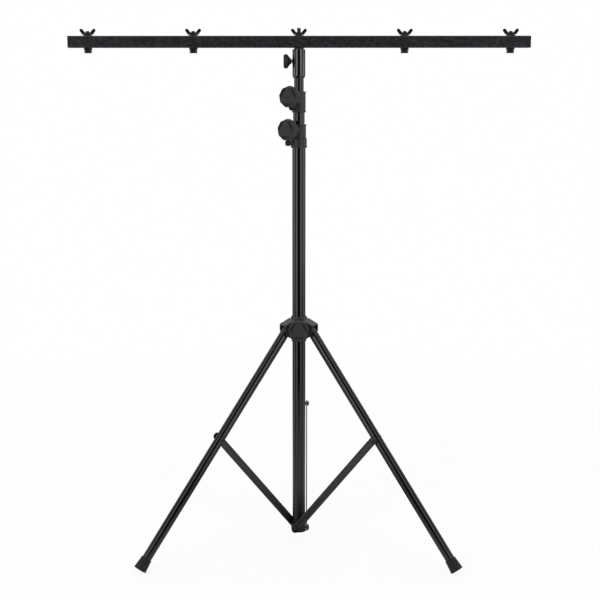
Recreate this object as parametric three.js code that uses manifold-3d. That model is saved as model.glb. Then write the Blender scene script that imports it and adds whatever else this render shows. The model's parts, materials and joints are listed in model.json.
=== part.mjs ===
// Lighting T-bar stand: a folding tripod, a three-stage telescopic mast and a bolted cross bar.
// Millimetres, +Z up, bar along X, floor at z = 0. The hidden leg points along +Y.

import * as THREE from 'three';
import { mergeVertices } from 'three/addons/utils/BufferGeometryUtils.js';
import Module from 'manifold-3d';

const wasm = await Module();
wasm.setup();
const degree = Math.PI / 180;

// Fits
const seatGap = 0.3;
const runningGap = 0.3;
const slideGap = 0.5;
const cutOverrun = 5;

// Facets
const roundSteps = 24;
const legSteps = 20;
const knobSteps = 18;
const holeSteps = 10;
const fastenerSteps = 12;
const cornerSteps = 3;

// Mast tubes
const outerTubeRadius = 17.5;
const outerTubeWall = 1.5;
const midTubeRadius = 15;
const midTubeWall = 1.5;
const innerTubeRadius = 12.5;
const innerTubeWall = 1.2;
const tubeBottomAboveHub = 3;
const lowerCollarTop = 1141;
const midTubeShown = 31;
const innerTubeShown = 34;
const midTubeFoot = 88;
const innerTubeFoot = 90;
const guideFlangeLength = 10;
const guideSpigotLength = 26;
const stageTravel = 800;

// Tripod linkage
const legCount = 3;
const firstLegTurn = -30 * degree;
const legSpread = 36.5 * degree;
const upperLegLength = 338;
const lowerLegLength = 395;
const strutLength = 375.2;
const legRadius = 12.5;
const legWall = 1.3;
const legEndBeyondPivot = 7;
const legFoldClearance = 3.2;
const pivotBoltRadius = 3;

// Struts
const strutWidth = 20;
const strutThickness = 3;
const spacerLength = 6.4;
const spacerRadius = 6;
const domeHeadRadius = 7.2;
const domeHeadHeight = 5.4;

// Rubber feet
const footEndRadius = 17.2;
const footTopWall = 1.5;
const footLipHeight = 3;
const footLength = 33;
const footFloor = 6;
const footRimHeight = 3;
const footFlatDepth = 1.2;

// Hub at the foot of the mast
const hubWall = 3.5;
const hubFlatWall = 1.7;
const hubBelowPivot = 9;
const hubAbovePivot = 14;
const hubChamfer = 2;
const hubBoltReach = 3;
const hubHeadRadius = 9;
const hubHeadHeight = 5.6;

// Crown that slides on the outer tube
const crownWall = 3;
const crownTopAbovePivot = 34;
const crownRingHeight = 9.5;
const crownRingWall = 3.9;
const crownRingChamfer = 2.5;
const crownBelowPivot = 34;
const crownFootWall = 2.2;
const cheekWall = 4;
const armBeyondPivot = 13.5;
const armRoofThickness = 3.4;
const armRoofAbovePivotInside = 28.5;
const armRoofAbovePivotOutside = 15.5;
const armCornerDrop = 2.5;
const armEndBelowPivot = 3;
const armToeBelowPivot = 16;
const armToeBeyondPivot = 8;
const armBottomBelowPivot = 24;
const armEdgeRound = 1.4;
const crownKnobAbovePivot = 4;
const legBoltHeadRadius = 5.8;
const legBoltHeadHeight = 3.6;

// Clamping knobs on the crown and the collars
const knobRadius = 28;
const knobHeight = 22;
const knobLobes = 9;
const knobLobeDepth = 1.9;
const knobStepsPerLobe = 4;
const knobHubRadius = 9;
const knobBackRecess = 8;
const knobRimWall = 5;
const knobShoulder = 2;
const knobFaceDrop = 3;
const knobStudDepth = 14;
const trefoilRadius = 19.6;
const trefoilSwing = 3.6;
const fingerRecessRadius = 22.6;
const fingerRecessDepth = 4.5;
const studRadius = 4;
const bossRadius = 11.5;
const bossLip = 1.2;
const bossBeyondSleeve = 15;
const knobStandOff = 3.5;
const shoeRadius = 6;
const shoeThickness = 3.5;

// Collars
const lowerCollarSkirtWall = 2.9;
const lowerCollarSkirtHeight = 27;
const lowerCollarHeight = 60;
const lowerCollarNeckWall = 3.3;
const lowerCollarTopFlange = 2;
const lowerCollarFootFlange = 1.2;
const collarFlangeHeight = 3.6;
const collarShoulderHeight = 4;
const lowerKnobBelowTop = 13;
const upperCollarSkirtWall = 2.3;
const upperCollarSkirtHeight = 26;
const upperCollarHeight = 54;
const upperCollarFlange = 0.7;
const upperKnobBelowTop = 14;
const lowerKnobTurn = -125 * degree;
const upperKnobTurn = -118.5 * degree;

// Sprung index pins
const lowerPinTurn = -155 * degree;
const upperPinTurn = -133 * degree;
const lowerPinAboveFoot = 12.5;
const upperPinAboveFoot = 13;
const pinStemRadius = 3.5;
const pinSeatRadius = 6;
const lowerPinSeatLength = 5;
const upperPinSeatLength = 2.5;
const pinCapRadius = 8;
const pinCapLength = 11;
const pinCapRound = 2.5;
const pinDimpleRadius = 4.6;
const pinDimpleDepth = 3;
const indexHoleRadius = 4.2;

// Bar sleeve and its knob
const sleeveWall = 3.9;
const sleeveHeight = 73;
const sleeveFootChamferHeight = 5.5;
const sleeveFootChamfer = 2.6;
const sleeveTopChamfer = 0.8;
const sleeveKnobBelowTop = 30;
const plugDepth = 15;
const neckHeight = 4;
const sleeveBossRadius = 6.5;
const sleeveBossHeight = 1.1;
const sleeveKnobRadius = 18.8;
const sleeveKnobHeight = 11.5;
const sleeveKnobHubLength = 9;
const sleeveKnobHubRadius = 6.5;
const sleeveKnobStandOff = 1.5;
const sleeveStudRadius = 3;

// Cross bar
const barLength = 1192;
const barSection = 30;
const barWall = 2;
const barCornerRadius = 3;
const endCapThickness = 3;
const endCapPlugLength = 16;
const endCapPlugWall = 2.4;
const outerBoltFromEnd = 50.4;
const boltRadius = 5;
const boltTipChamfer = 1;
const boltAboveBar = 12.3;
const centreBoltAboveBar = 20;
const nutUnderBarAcross = 21.4;
const nutUnderBarHeight = 6.4;
const headNeckRadius = 7.6;
const headNeckHeight = 0.9;
const headAcross = 19.6;
const headHeight = 6;
const hexSides = 6;
const boltPlaceShares = [-2, -1, 0, 1, 2];

// Wing nuts
const nutFlangeRadius = 11.6;
const nutFlangeHeight = 1.6;
const nutFootRadius = 9.4;
const nutTopRadius = 7.8;
const nutHubHeight = 8.6;
const wingTilt = 38 * degree;
const wingWidth = 8.4;
const wingThickness = 4.4;
const wingSpan = 41;
const wingRise = 18;

// Materials
function finish(color, roughness, metalness) {
  return new THREE.MeshStandardMaterial({ color, roughness, metalness });
}
const blackTube = () => finish(0x1b1b1d, 0.32, 0.55);
const blackBar = () => finish(0x26262b, 0.45, 0.4);
const blackSteel = () => finish(0x202022, 0.4, 0.6);
const darkZinc = () => finish(0x4a4a4c, 0.38, 0.85);
const greyPlastic = () => finish(0x36353a, 0.55, 0);
const blackPlastic = () => finish(0x1a1a1b, 0.6, 0);
const blackRubber = () => finish(0x121212, 0.85, 0);
const nylon = () => finish(0x2a2a2a, 0.5, 0);

// Conversions between three.js geometry and solids that can be cut
function solidOf(geometry) {
  const bare = geometry.clone();
  bare.deleteAttribute('normal');
  bare.deleteAttribute('uv');
  const merged = mergeVertices(bare);
  const corners = merged.index.array;
  const kept = [];
  for (let i = 0; i < corners.length; i += 3) {
    const [a, b, c] = [corners[i], corners[i + 1], corners[i + 2]];
    if (a !== b && b !== c && c !== a) kept.push(a, b, c);
  }
  const vertProperties = new Float32Array(merged.attributes.position.array);
  const triVerts = new Uint32Array(kept);
  return new wasm.Manifold(new wasm.Mesh({ numProp: 3, vertProperties, triVerts }));
}

function geometryOf(solid) {
  const cut = solid.getMesh();
  const geometry = new THREE.BufferGeometry();
  geometry.setAttribute('position', new THREE.BufferAttribute(cut.vertProperties, 3));
  geometry.setIndex(new THREE.BufferAttribute(cut.triVerts, 1));
  geometry.computeVertexNormals();
  return geometry;
}

// A revolved solid about Z from [radius, height] points listed counter-clockwise
function revolve(profile, steps = roundSteps) {
  const points = profile.map(([radius, height]) => new THREE.Vector2(radius, height));
  const onAxis = points[0].x === 0 && points[points.length - 1].x === 0;
  if (!onAxis) points.push(points[0].clone());
  const geometry = new THREE.LatheGeometry(points, steps);
  geometry.rotateX(Math.PI / 2);
  return solidOf(geometry);
}

function rod(radius, bottom, top, steps = holeSteps) {
  return revolve([[0, bottom], [radius, bottom], [radius, top], [0, top]], steps);
}

function ring(outer, inner, bottom, top, steps = roundSteps) {
  return revolve([[inner, bottom], [outer, bottom], [outer, top], [inner, top]], steps);
}

// An outline in X and Z drawn out along Y, centred on the XZ plane
function slab(outline, thickness, edgeRound = 0) {
  const shape = outline instanceof THREE.Shape ? outline : shapeOf(outline);
  const geometry = new THREE.ExtrudeGeometry(shape, {
    depth: thickness - 2 * edgeRound,
    bevelEnabled: edgeRound > 0,
    bevelThickness: edgeRound,
    bevelSize: edgeRound,
    bevelOffset: -edgeRound,
    bevelSegments: 1,
    curveSegments: cornerSteps + 1,
  });
  geometry.rotateX(Math.PI / 2);
  geometry.translate(0, (thickness - 2 * edgeRound) / 2, 0);
  return solidOf(geometry);
}

function shapeOf(points) {
  return new THREE.Shape(points.map(([x, y]) => new THREE.Vector2(x, y)));
}

// Rigid moves of a solid, by the same matrices that three.js groups use
function moved(solid, matrix) {
  return solid.transform(matrix.elements);
}

function shifted(solid, x, y, z) {
  return moved(solid, new THREE.Matrix4().makeTranslation(x, y, z));
}

function turnedAboutZ(solid, angle) {
  return moved(solid, new THREE.Matrix4().makeRotationZ(angle));
}

// Lays a solid built along +Z so that it points outward along +X
function laidOutward(solid) {
  return moved(solid, new THREE.Matrix4().makeRotationY(Math.PI / 2));
}

// Lays a solid built along +Z so that it points along -Y
function laidAside(solid) {
  return moved(solid, new THREE.Matrix4().makeRotationX(Math.PI / 2));
}

// Lays a solid built along +Z so that it points along +Y
function laidBehind(solid) {
  return moved(solid, new THREE.Matrix4().makeRotationX(-Math.PI / 2));
}

function atHeight(solid, height) {
  return shifted(solid, 0, 0, height);
}

function piece(name, solid, material) {
  const mesh = new THREE.Mesh(geometryOf(solid), material);
  mesh.name = name;
  return mesh;
}

function groupAt(x, y, z) {
  const group = new THREE.Group();
  group.position.set(x, y, z);
  return group;
}

// A domed head standing on z = 0
function domedHead(radius, height) {
  const profile = [[0, 0], [radius, 0]];
  for (let step = 1; step < cornerSteps; step += 1) {
    const angle = (step / cornerSteps) * Math.PI / 2;
    profile.push([radius * Math.cos(angle), height * Math.sin(angle)]);
  }
  profile.push([0, height]);
  return revolve(profile, fastenerSteps);
}

// Places worked out from the sizes
const outerTubeBore = outerTubeRadius - outerTubeWall;
const midTubeBore = midTubeRadius - midTubeWall;
const innerTubeBore = innerTubeRadius - innerTubeWall;
const crownBore = outerTubeRadius + runningGap;
const crownSleeveRadius = crownBore + crownWall;
const legPivotRadius = crownSleeveRadius + legFoldClearance + legRadius;
const jointRadius = legPivotRadius + upperLegLength * Math.sin(legSpread);
const footCentreHeight = footEndRadius * Math.sin(legSpread) - footFlatDepth;
const jointHeight = footCentreHeight + lowerLegLength * Math.cos(legSpread);
const hubPivotHeight = jointHeight - Math.sqrt(strutLength ** 2 - jointRadius ** 2);
const legPivotHeight = jointHeight + upperLegLength * Math.cos(legSpread);
const strutTilt = Math.asin(jointRadius / strutLength);
const hubFlat = Math.max(
  outerTubeRadius + hubFlatWall,
  legRadius + seatGap + spacerLength,
);
const strutInnerFace = hubFlat + seatGap;
const strutPlane = strutInnerFace + strutThickness / 2;
const strutOuterFace = strutInnerFace + strutThickness;
const hubRadius = Math.max(outerTubeRadius + hubWall, hubFlat + hubChamfer);
const cheekInside = legRadius + slideGap;
const cheekOutside = cheekInside + cheekWall;
const outerTubeBottom = hubPivotHeight - hubBelowPivot + tubeBottomAboveHub;
const lowerCollarFoot = lowerCollarTop - lowerCollarHeight;
const outerTubeTop = lowerCollarFoot + lowerCollarSkirtHeight - collarShoulderHeight - seatGap;
const upperCollarFoot = lowerCollarTop + midTubeShown;
const upperCollarTop = upperCollarFoot + upperCollarHeight;
const midTubeTop = upperCollarFoot + upperCollarSkirtHeight - collarShoulderHeight - seatGap;
const midTubeBottom = outerTubeBottom + midTubeFoot;
const innerTubeBottom = midTubeBottom + innerTubeFoot;
const sleeveFoot = upperCollarTop + innerTubeShown;
const sleeveTop = sleeveFoot + sleeveHeight;
const innerTubeTop = sleeveTop - plugDepth - seatGap;
const barBottom = sleeveTop + neckHeight;
const barMiddle = barBottom + barSection / 2;
const barTop = barBottom + barSection;
const knobBoreRadius = studRadius + seatGap;
const legStep = (2 * Math.PI) / legCount;
const legTurns = Array.from({ length: legCount }, (_, index) => firstLegTurn - index * legStep);
const lowerPinHeight = lowerCollarFoot + lowerPinAboveFoot;
const upperPinHeight = upperCollarFoot + upperPinAboveFoot;

// Tubes of the mast
function mastTube(radius, wall, bottom, top, steps = roundSteps) {
  return ring(radius, radius - wall, bottom, top, steps);
}

function radialHole(radius, from, to, turn, height) {
  return atHeight(turnedAboutZ(laidOutward(rod(radius, from, to)), turn), height);
}

// Hole in a tube's wall for the stem of the index pin on its collar
function pinPassage(tubeRadius, pinTurn, pinHeight) {
  return radialHole(pinStemRadius + runningGap, 0, tubeRadius + cutOverrun, pinTurn, pinHeight);
}

function outerTube() {
  let tube = mastTube(outerTubeRadius, outerTubeWall, outerTubeBottom, outerTubeTop);
  for (const turn of legTurns) {
    const side = turn - Math.PI / 2;
    const reach = outerTubeRadius + cutOverrun;
    tube = tube.subtract(radialHole(pivotBoltRadius + seatGap, 0, reach, side, hubPivotHeight));
  }
  return tube.subtract(pinPassage(outerTubeRadius, lowerPinTurn, lowerPinHeight));
}

// Hole in a sliding tube that meets the pin of the collar below it at full travel
function indexHole(tubeRadius, pinTurn, pinHeight) {
  return radialHole(indexHoleRadius, 0, tubeRadius + cutOverrun, pinTurn, pinHeight - stageTravel);
}

function midTube() {
  return mastTube(midTubeRadius, midTubeWall, midTubeBottom, midTubeTop)
    .subtract(indexHole(midTubeRadius, lowerPinTurn, lowerPinHeight))
    .subtract(pinPassage(midTubeRadius, upperPinTurn, upperPinHeight));
}

function innerTube() {
  return mastTube(innerTubeRadius, innerTubeWall, innerTubeBottom, innerTubeTop)
    .subtract(indexHole(innerTubeRadius, upperPinTurn, upperPinHeight));
}

// A nylon plug in a tube's lower end, whose flange runs in the next tube out
function tubeGuide(tubeBore, outerBore, tubeBottom) {
  const flange = outerBore - runningGap;
  const spigot = tubeBore - seatGap;
  const foot = tubeBottom - seatGap - guideFlangeLength;
  return revolve([
    [0, foot],
    [flange, foot],
    [flange, tubeBottom - seatGap],
    [spigot, tubeBottom - seatGap],
    [spigot, tubeBottom + guideSpigotLength],
    [0, tubeBottom + guideSpigotLength],
  ], fastenerSteps);
}

// Hub with three flats, one for each strut
function tripodHub() {
  const foot = hubPivotHeight - hubBelowPivot;
  const top = hubPivotHeight + hubAbovePivot;
  const bore = outerTubeRadius + seatGap;
  let hub = revolve([
    [0, foot],
    [hubRadius - hubChamfer, foot],
    [hubRadius, foot + hubChamfer],
    [hubRadius, top - hubChamfer],
    [bore + seatGap, top],
    [bore, top],
    [bore, outerTubeBottom - seatGap],
    [0, outerTubeBottom - seatGap],
  ]);
  for (const turn of legTurns) {
    const side = turn - Math.PI / 2;
    const depth = hubRadius;
    const flat = new THREE.BoxGeometry(depth, 2 * hubRadius, top - foot + cutOverrun);
    flat.translate(hubFlat + depth / 2, 0, (top + foot) / 2);
    hub = hub.subtract(turnedAboutZ(solidOf(flat), side));
    hub = hub.subtract(radialHole(pivotBoltRadius + seatGap, 0, hubRadius, side, hubPivotHeight));
  }
  return hub;
}

// A pivot bolt along -Y: a domed head outside the strut, its shank in through hub and tube
function hubPivotBolt() {
  const head = laidAside(domedHead(hubHeadRadius, hubHeadHeight));
  const headSeat = strutOuterFace + seatGap;
  const tip = outerTubeBore - hubBoltReach;
  const shank = laidAside(rod(pivotBoltRadius, tip, headSeat + hubHeadHeight / 2, fastenerSteps));
  return shifted(head, 0, -headSeat, 0).add(shank);
}

// Flat strut with a hole near each round end, along +Z from its hub pivot
function strut() {
  const half = strutWidth / 2;
  const outline = new THREE.Shape();
  outline.absarc(0, strutLength, half, 0, Math.PI, false);
  outline.absarc(0, 0, half, Math.PI, 2 * Math.PI, false);
  outline.closePath();
  for (const height of [0, strutLength]) {
    const hole = new THREE.Path();
    hole.absarc(0, height, pivotBoltRadius + runningGap, 0, 2 * Math.PI, true);
    outline.holes.push(hole);
  }
  return slab(outline, strutThickness);
}

// The strut's own half of the leg joint: a domed nut and its stub in the strut's hole
function strutNut() {
  const head = laidAside(domedHead(domeHeadRadius, domeHeadHeight));
  const headSeat = strutThickness / 2 + seatGap;
  const reach = headSeat + domeHeadHeight / 2;
  const stub = laidAside(rod(pivotBoltRadius, -strutThickness / 2, reach, fastenerSteps));
  return shifted(head, 0, -headSeat, 0).add(stub);
}

// Leg parts, along -Z from the crown pivot
function legTube() {
  const foot = -(upperLegLength + lowerLegLength - footFloor - seatGap);
  let tube = mastTube(legRadius, legWall, foot, legEndBeyondPivot, legSteps);
  for (const height of [0, -upperLegLength]) {
    const cross = laidAside(rod(pivotBoltRadius + runningGap, -legRadius * 2, legRadius * 2));
    tube = tube.subtract(atHeight(cross, height));
  }
  return tube;
}

function rubberFoot() {
  const bore = legRadius + seatGap;
  const lip = bore + footTopWall;
  const sole = -(upperLegLength + lowerLegLength);
  const foot = revolve([
    [0, sole],
    [footEndRadius, sole],
    [footEndRadius, sole + footRimHeight],
    [lip, sole + footLength - footLipHeight],
    [lip, sole + footLength],
    [bore, sole + footLength],
    [bore, sole + footFloor],
    [0, sole + footFloor],
  ]);
  const side = 2 * (upperLegLength + lowerLegLength);
  const ground = new THREE.BoxGeometry(side, side, side);
  ground.translate(0, 0, -side / 2);
  ground.applyMatrix4(legFrame().invert());
  return foot.subtract(solidOf(ground));
}

// From the hinged leg's frame to the upright plane of the leg
function legFrame() {
  const matrix = new THREE.Matrix4().makeTranslation(legPivotRadius, 0, legPivotHeight);
  return matrix.multiply(new THREE.Matrix4().makeRotationY(-legSpread));
}

function strutBolt() {
  const headSeat = legRadius + seatGap;
  const head = laidBehind(domedHead(domeHeadRadius, domeHeadHeight));
  const reach = -headSeat - domeHeadHeight / 2;
  const shank = laidAside(rod(pivotBoltRadius, reach, strutInnerFace - seatGap, fastenerSteps));
  return shifted(head, 0, headSeat, 0).add(shank);
}

function strutSpacer() {
  const near = legRadius + seatGap;
  const far = strutInnerFace - seatGap;
  return laidAside(ring(spacerRadius, pivotBoltRadius + seatGap, near, far, fastenerSteps));
}

// Crown: a sleeve with three inverted-U arms and the boss of its clamping knob
function crownArm() {
  const inside = crownBore + crownWall / 2;
  const ringEdge = crownBore + crownRingWall;
  const end = legPivotRadius + armBeyondPivot;
  const roofEnd = end - armCornerDrop;
  const toe = legPivotRadius + armToeBeyondPivot;
  const slope = (armRoofAbovePivotInside - armRoofAbovePivotOutside) / (roofEnd - inside);
  const roof = (radius) => armRoofAbovePivotInside - slope * (radius - inside);
  const outline = [
    [0, -armBottomBelowPivot],
    [legPivotRadius - legRadius / 2, -armBottomBelowPivot],
    [toe, -armToeBelowPivot],
    [end, -armEndBelowPivot],
    [end, armRoofAbovePivotOutside - armCornerDrop],
    [roofEnd, armRoofAbovePivotOutside],
    [ringEdge, roof(ringEdge)],
    [0, roof(ringEdge)],
  ];
  const slotInside = crownSleeveRadius + seatGap;
  const slotEnd = end + cutOverrun;
  const slot = [
    [slotInside, -armBottomBelowPivot - cutOverrun],
    [slotEnd, -armBottomBelowPivot - cutOverrun],
    [slotEnd, roof(slotEnd) - armRoofThickness],
    [slotInside, roof(slotInside) - armRoofThickness],
  ];
  return slab(outline, 2 * cheekOutside, armEdgeRound).subtract(slab(slot, 2 * cheekInside));
}

const crownBossEnd = crownSleeveRadius + bossBeyondSleeve;

// A boss along +X for a clamping stud, with a raised lip at its mouth
function clampBoss(inside, end) {
  return laidOutward(revolve([
    [0, inside],
    [bossRadius, inside],
    [bossRadius, end - bossLip],
    [bossRadius - bossLip, end],
    [0, end],
  ], roundSteps));
}

// The stud's hole and the shoe's pocket, along +X
function clampBore(tubeRadius, end) {
  const pocketEnd = tubeRadius + seatGap + shoeThickness + seatGap;
  const stud = laidOutward(rod(studRadius + runningGap, 0, end + cutOverrun));
  const pocket = laidOutward(rod(shoeRadius + seatGap, 0, pocketEnd));
  return stud.add(pocket);
}

function crown() {
  const top = crownTopAbovePivot;
  const ringFoot = top - crownRingHeight;
  const ringRadius = crownBore + crownRingWall;
  const footRadius = crownBore + crownFootWall;
  let body = revolve([
    [0, -crownBelowPivot],
    [footRadius, -crownBelowPivot],
    [crownSleeveRadius, -armBottomBelowPivot],
    [crownSleeveRadius, ringFoot],
    [ringRadius, ringFoot],
    [ringRadius, top - crownRingChamfer],
    [ringRadius - crownRingChamfer, top],
    [0, top],
  ]);
  for (const turn of legTurns) {
    body = body.add(turnedAboutZ(crownArm(), turn));
  }
  const front = -Math.PI / 2;
  const boss = clampBoss(crownBore + crownWall / 2, crownBossEnd);
  body = body.add(atHeight(turnedAboutZ(boss, front), crownKnobAbovePivot));
  body = body.subtract(rod(crownBore, -crownBelowPivot - cutOverrun, top + cutOverrun, roundSteps));
  const bore = clampBore(outerTubeRadius, crownBossEnd);
  body = body.subtract(atHeight(turnedAboutZ(bore, front), crownKnobAbovePivot));
  for (const turn of legTurns) {
    const reach = cheekOutside + cutOverrun;
    const cross = laidAside(rod(pivotBoltRadius + seatGap, -reach, reach));
    body = body.subtract(turnedAboutZ(shifted(cross, legPivotRadius, 0, 0), turn));
  }
  return body;
}

// A bolt across both cheeks, domed at each end
function legPivotBolt() {
  const seat = cheekOutside + seatGap;
  const head = domedHead(legBoltHeadRadius, legBoltHeadHeight);
  const near = shifted(laidAside(head), 0, -seat, 0);
  const far = shifted(laidBehind(head), 0, seat, 0);
  const reach = seat + legBoltHeadHeight / 2;
  return laidAside(rod(pivotBoltRadius, -reach, reach, fastenerSteps)).add(near).add(far);
}

// Outline of a knob: shallow flats between narrow ridges
function lobedOutline(radius, depth) {
  const steps = knobLobes * knobStepsPerLobe;
  const points = [];
  for (let step = 0; step < steps; step += 1) {
    const angle = (step / steps) * 2 * Math.PI;
    const crest = Math.cos((knobLobes * angle) / 2) ** 4;
    const reach = radius - depth * (1 - crest);
    points.push(new THREE.Vector2(reach * Math.cos(angle), reach * Math.sin(angle)));
  }
  return new THREE.Shape(points);
}

// Rounded triangle of the knob's raised face
function trefoilOutline(radius, swing) {
  const steps = knobSteps;
  const points = [];
  for (let step = 0; step < steps; step += 1) {
    const angle = (step / steps) * 2 * Math.PI;
    const reach = radius + swing * Math.cos(3 * angle);
    points.push(new THREE.Vector2(reach * Math.cos(angle), reach * Math.sin(angle)));
  }
  return new THREE.Shape(points);
}

function prism(shape, bottom, top) {
  const geometry = new THREE.ExtrudeGeometry(shape, { depth: top - bottom, bevelEnabled: false });
  geometry.translate(0, 0, bottom);
  return solidOf(geometry);
}

// Large moulded knob along +Z, its back at z = 0
function clampKnob() {
  const rimInside = knobRadius - knobLobeDepth - knobRimWall;
  const faceRadius = knobRadius - knobFaceDrop;
  const turned = revolve([
    [0, knobStudDepth],
    [knobBoreRadius, knobStudDepth],
    [knobBoreRadius, 0],
    [knobHubRadius, 0],
    [knobHubRadius, knobBackRecess],
    [rimInside, knobBackRecess],
    [rimInside, knobShoulder],
    [knobRadius - knobShoulder, knobShoulder],
    [knobRadius, 2 * knobShoulder],
    [knobRadius, knobHeight - knobFaceDrop],
    [(knobRadius + faceRadius) / 2, knobHeight - knobFaceDrop / 4],
    [faceRadius, knobHeight],
    [0, knobHeight],
  ], knobSteps);
  const outline = prism(lobedOutline(knobRadius, knobLobeDepth), -cutOverrun, knobHeight + cutOverrun);
  const floor = knobHeight - fingerRecessDepth;
  const well = rod(fingerRecessRadius, floor, knobHeight + cutOverrun, knobSteps);
  const trefoil = trefoilOutline(trefoilRadius, trefoilSwing);
  const island = prism(trefoil, floor - cutOverrun, knobHeight + 2 * cutOverrun);
  return turned.intersect(outline).subtract(well.subtract(island));
}

function stud(radius, from, to) {
  return revolve([
    [0, from],
    [radius - boltTipChamfer, from],
    [radius, from + boltTipChamfer],
    [radius, to],
    [0, to],
  ], fastenerSteps);
}

// The pad between a stud and its tube, hollowed to the tube
function clampShoe(tubeRadius) {
  const back = tubeRadius + seatGap + shoeThickness;
  const pad = laidOutward(rod(shoeRadius, tubeRadius / 2, back, fastenerSteps));
  return pad.subtract(rod(tubeRadius + seatGap, -tubeRadius, tubeRadius, roundSteps));
}

// Knob, stud and shoe about one clamping axis, built along +X
function clampSet(prefix, tubeRadius, bossEnd, turn, height) {
  const set = groupAt(0, 0, height);
  set.rotation.z = turn;
  const knobBack = bossEnd + knobStandOff;
  const studFrom = tubeRadius + 2 * seatGap + shoeThickness;
  const studTo = knobBack + knobStudDepth - seatGap;
  set.add(piece(`${prefix}_clamp_shoe`, clampShoe(tubeRadius), nylon()));
  set.add(piece(`${prefix}_knob_stud`, laidOutward(stud(studRadius, studFrom, studTo)), darkZinc()));
  const knob = moved(clampKnob(), new THREE.Matrix4().makeRotationZ(Math.PI));
  set.add(piece(`${prefix}_knob`, shifted(laidOutward(knob), knobBack, 0, 0), greyPlastic()));
  return set;
}

// Collar fixed on the top of a tube, clamping the next tube in
function collar(size) {
  const skirtBore = size.tubeRadius + seatGap;
  const neckBore = size.nextRadius + runningGap;
  const skirt = skirtBore + size.skirtWall;
  const neck = neckBore + size.neckWall;
  const step = size.skirtHeight - collarShoulderHeight;
  let body = revolve([
    [0, 0],
    [skirt + size.footFlange, 0],
    [skirt + size.footFlange, collarFlangeHeight - size.footFlange],
    [skirt, collarFlangeHeight],
    [skirt, step],
    [neck, size.skirtHeight],
    [neck, size.height - collarFlangeHeight],
    [neck + size.topFlange, size.height - collarFlangeHeight + size.topFlange],
    [neck + size.topFlange, size.height],
    [0, size.height],
  ]);
  const boss = clampBoss(neckBore, size.bossEnd);
  body = body.add(atHeight(turnedAboutZ(boss, size.knobTurn), size.knobHeight));
  const pinSeat = laidOutward(rod(pinSeatRadius, skirtBore, skirt + size.pinSeatLength, roundSteps));
  body = body.add(atHeight(turnedAboutZ(pinSeat, size.pinTurn), size.pinHeight));
  body = body.subtract(rod(skirtBore, -cutOverrun, step, roundSteps));
  body = body.subtract(rod(neckBore, 0, size.height + cutOverrun, roundSteps));
  const bore = clampBore(size.nextRadius, size.bossEnd);
  body = body.subtract(atHeight(turnedAboutZ(bore, size.knobTurn), size.knobHeight));
  const pinBore = radialHole(pinStemRadius + runningGap, 0, size.bossEnd, size.pinTurn, size.pinHeight);
  return body.subtract(pinBore);
}

// Pull pin along +X: stem, cap and the dimple in its end
function indexPin(tip, seat) {
  const capFoot = seat + runningGap;
  const end = capFoot + pinCapLength;
  return laidOutward(revolve([
    [0, tip],
    [pinStemRadius, tip],
    [pinStemRadius, capFoot],
    [pinCapRadius - pinCapRound / 2, capFoot],
    [pinCapRadius, capFoot + pinCapRound / 2],
    [pinCapRadius, end - pinCapRound],
    [pinCapRadius - pinCapRound, end],
    [pinDimpleRadius, end],
    [pinDimpleRadius / 2, end - pinDimpleDepth],
    [0, end - pinDimpleDepth],
  ], fastenerSteps));
}

function collarSet(prefix, size) {
  const set = groupAt(0, 0, size.foot);
  set.add(piece(`${prefix}_collar`, collar(size), greyPlastic()));
  set.add(clampSet(`${prefix}_collar`, size.nextRadius, size.bossEnd, size.knobTurn, size.knobHeight));
  const pin = groupAt(0, 0, size.pinHeight);
  pin.rotation.z = size.pinTurn;
  const seat = size.tubeRadius + seatGap + size.skirtWall + size.pinSeatLength;
  pin.add(piece(`${prefix}_index_pin`, indexPin(size.nextRadius + seatGap, seat), blackSteel()));
  set.add(pin);
  return set;
}

const lowerCollarSize = {
  tubeRadius: outerTubeRadius,
  nextRadius: midTubeRadius,
  skirtWall: lowerCollarSkirtWall,
  neckWall: lowerCollarNeckWall,
  skirtHeight: lowerCollarSkirtHeight,
  height: lowerCollarHeight,
  footFlange: lowerCollarFootFlange,
  topFlange: lowerCollarTopFlange,
  bossEnd: midTubeRadius + runningGap + lowerCollarNeckWall + bossBeyondSleeve,
  knobTurn: lowerKnobTurn,
  knobHeight: lowerCollarHeight - lowerKnobBelowTop,
  pinTurn: lowerPinTurn,
  pinHeight: lowerPinAboveFoot,
  pinSeatLength: lowerPinSeatLength,
  foot: lowerCollarFoot,
};

const upperCollarSize = {
  tubeRadius: midTubeRadius,
  nextRadius: innerTubeRadius,
  skirtWall: upperCollarSkirtWall,
  neckWall: midTubeRadius + seatGap + upperCollarSkirtWall - innerTubeRadius - runningGap,
  skirtHeight: upperCollarSkirtHeight,
  height: upperCollarHeight,
  footFlange: upperCollarFlange,
  topFlange: upperCollarFlange,
  bossEnd: midTubeRadius + seatGap + upperCollarSkirtWall + bossBeyondSleeve,
  knobTurn: upperKnobTurn,
  knobHeight: upperCollarHeight - upperKnobBelowTop,
  pinTurn: upperPinTurn,
  pinHeight: upperPinAboveFoot,
  pinSeatLength: upperPinSeatLength,
  foot: upperCollarFoot,
};

// Sleeve that carries the bar on the inner tube
const sleeveBore = innerTubeRadius + runningGap;
const sleeveRadius = sleeveBore + sleeveWall;
const sleeveKnobHeightOnMast = sleeveTop - sleeveKnobBelowTop;

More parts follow.
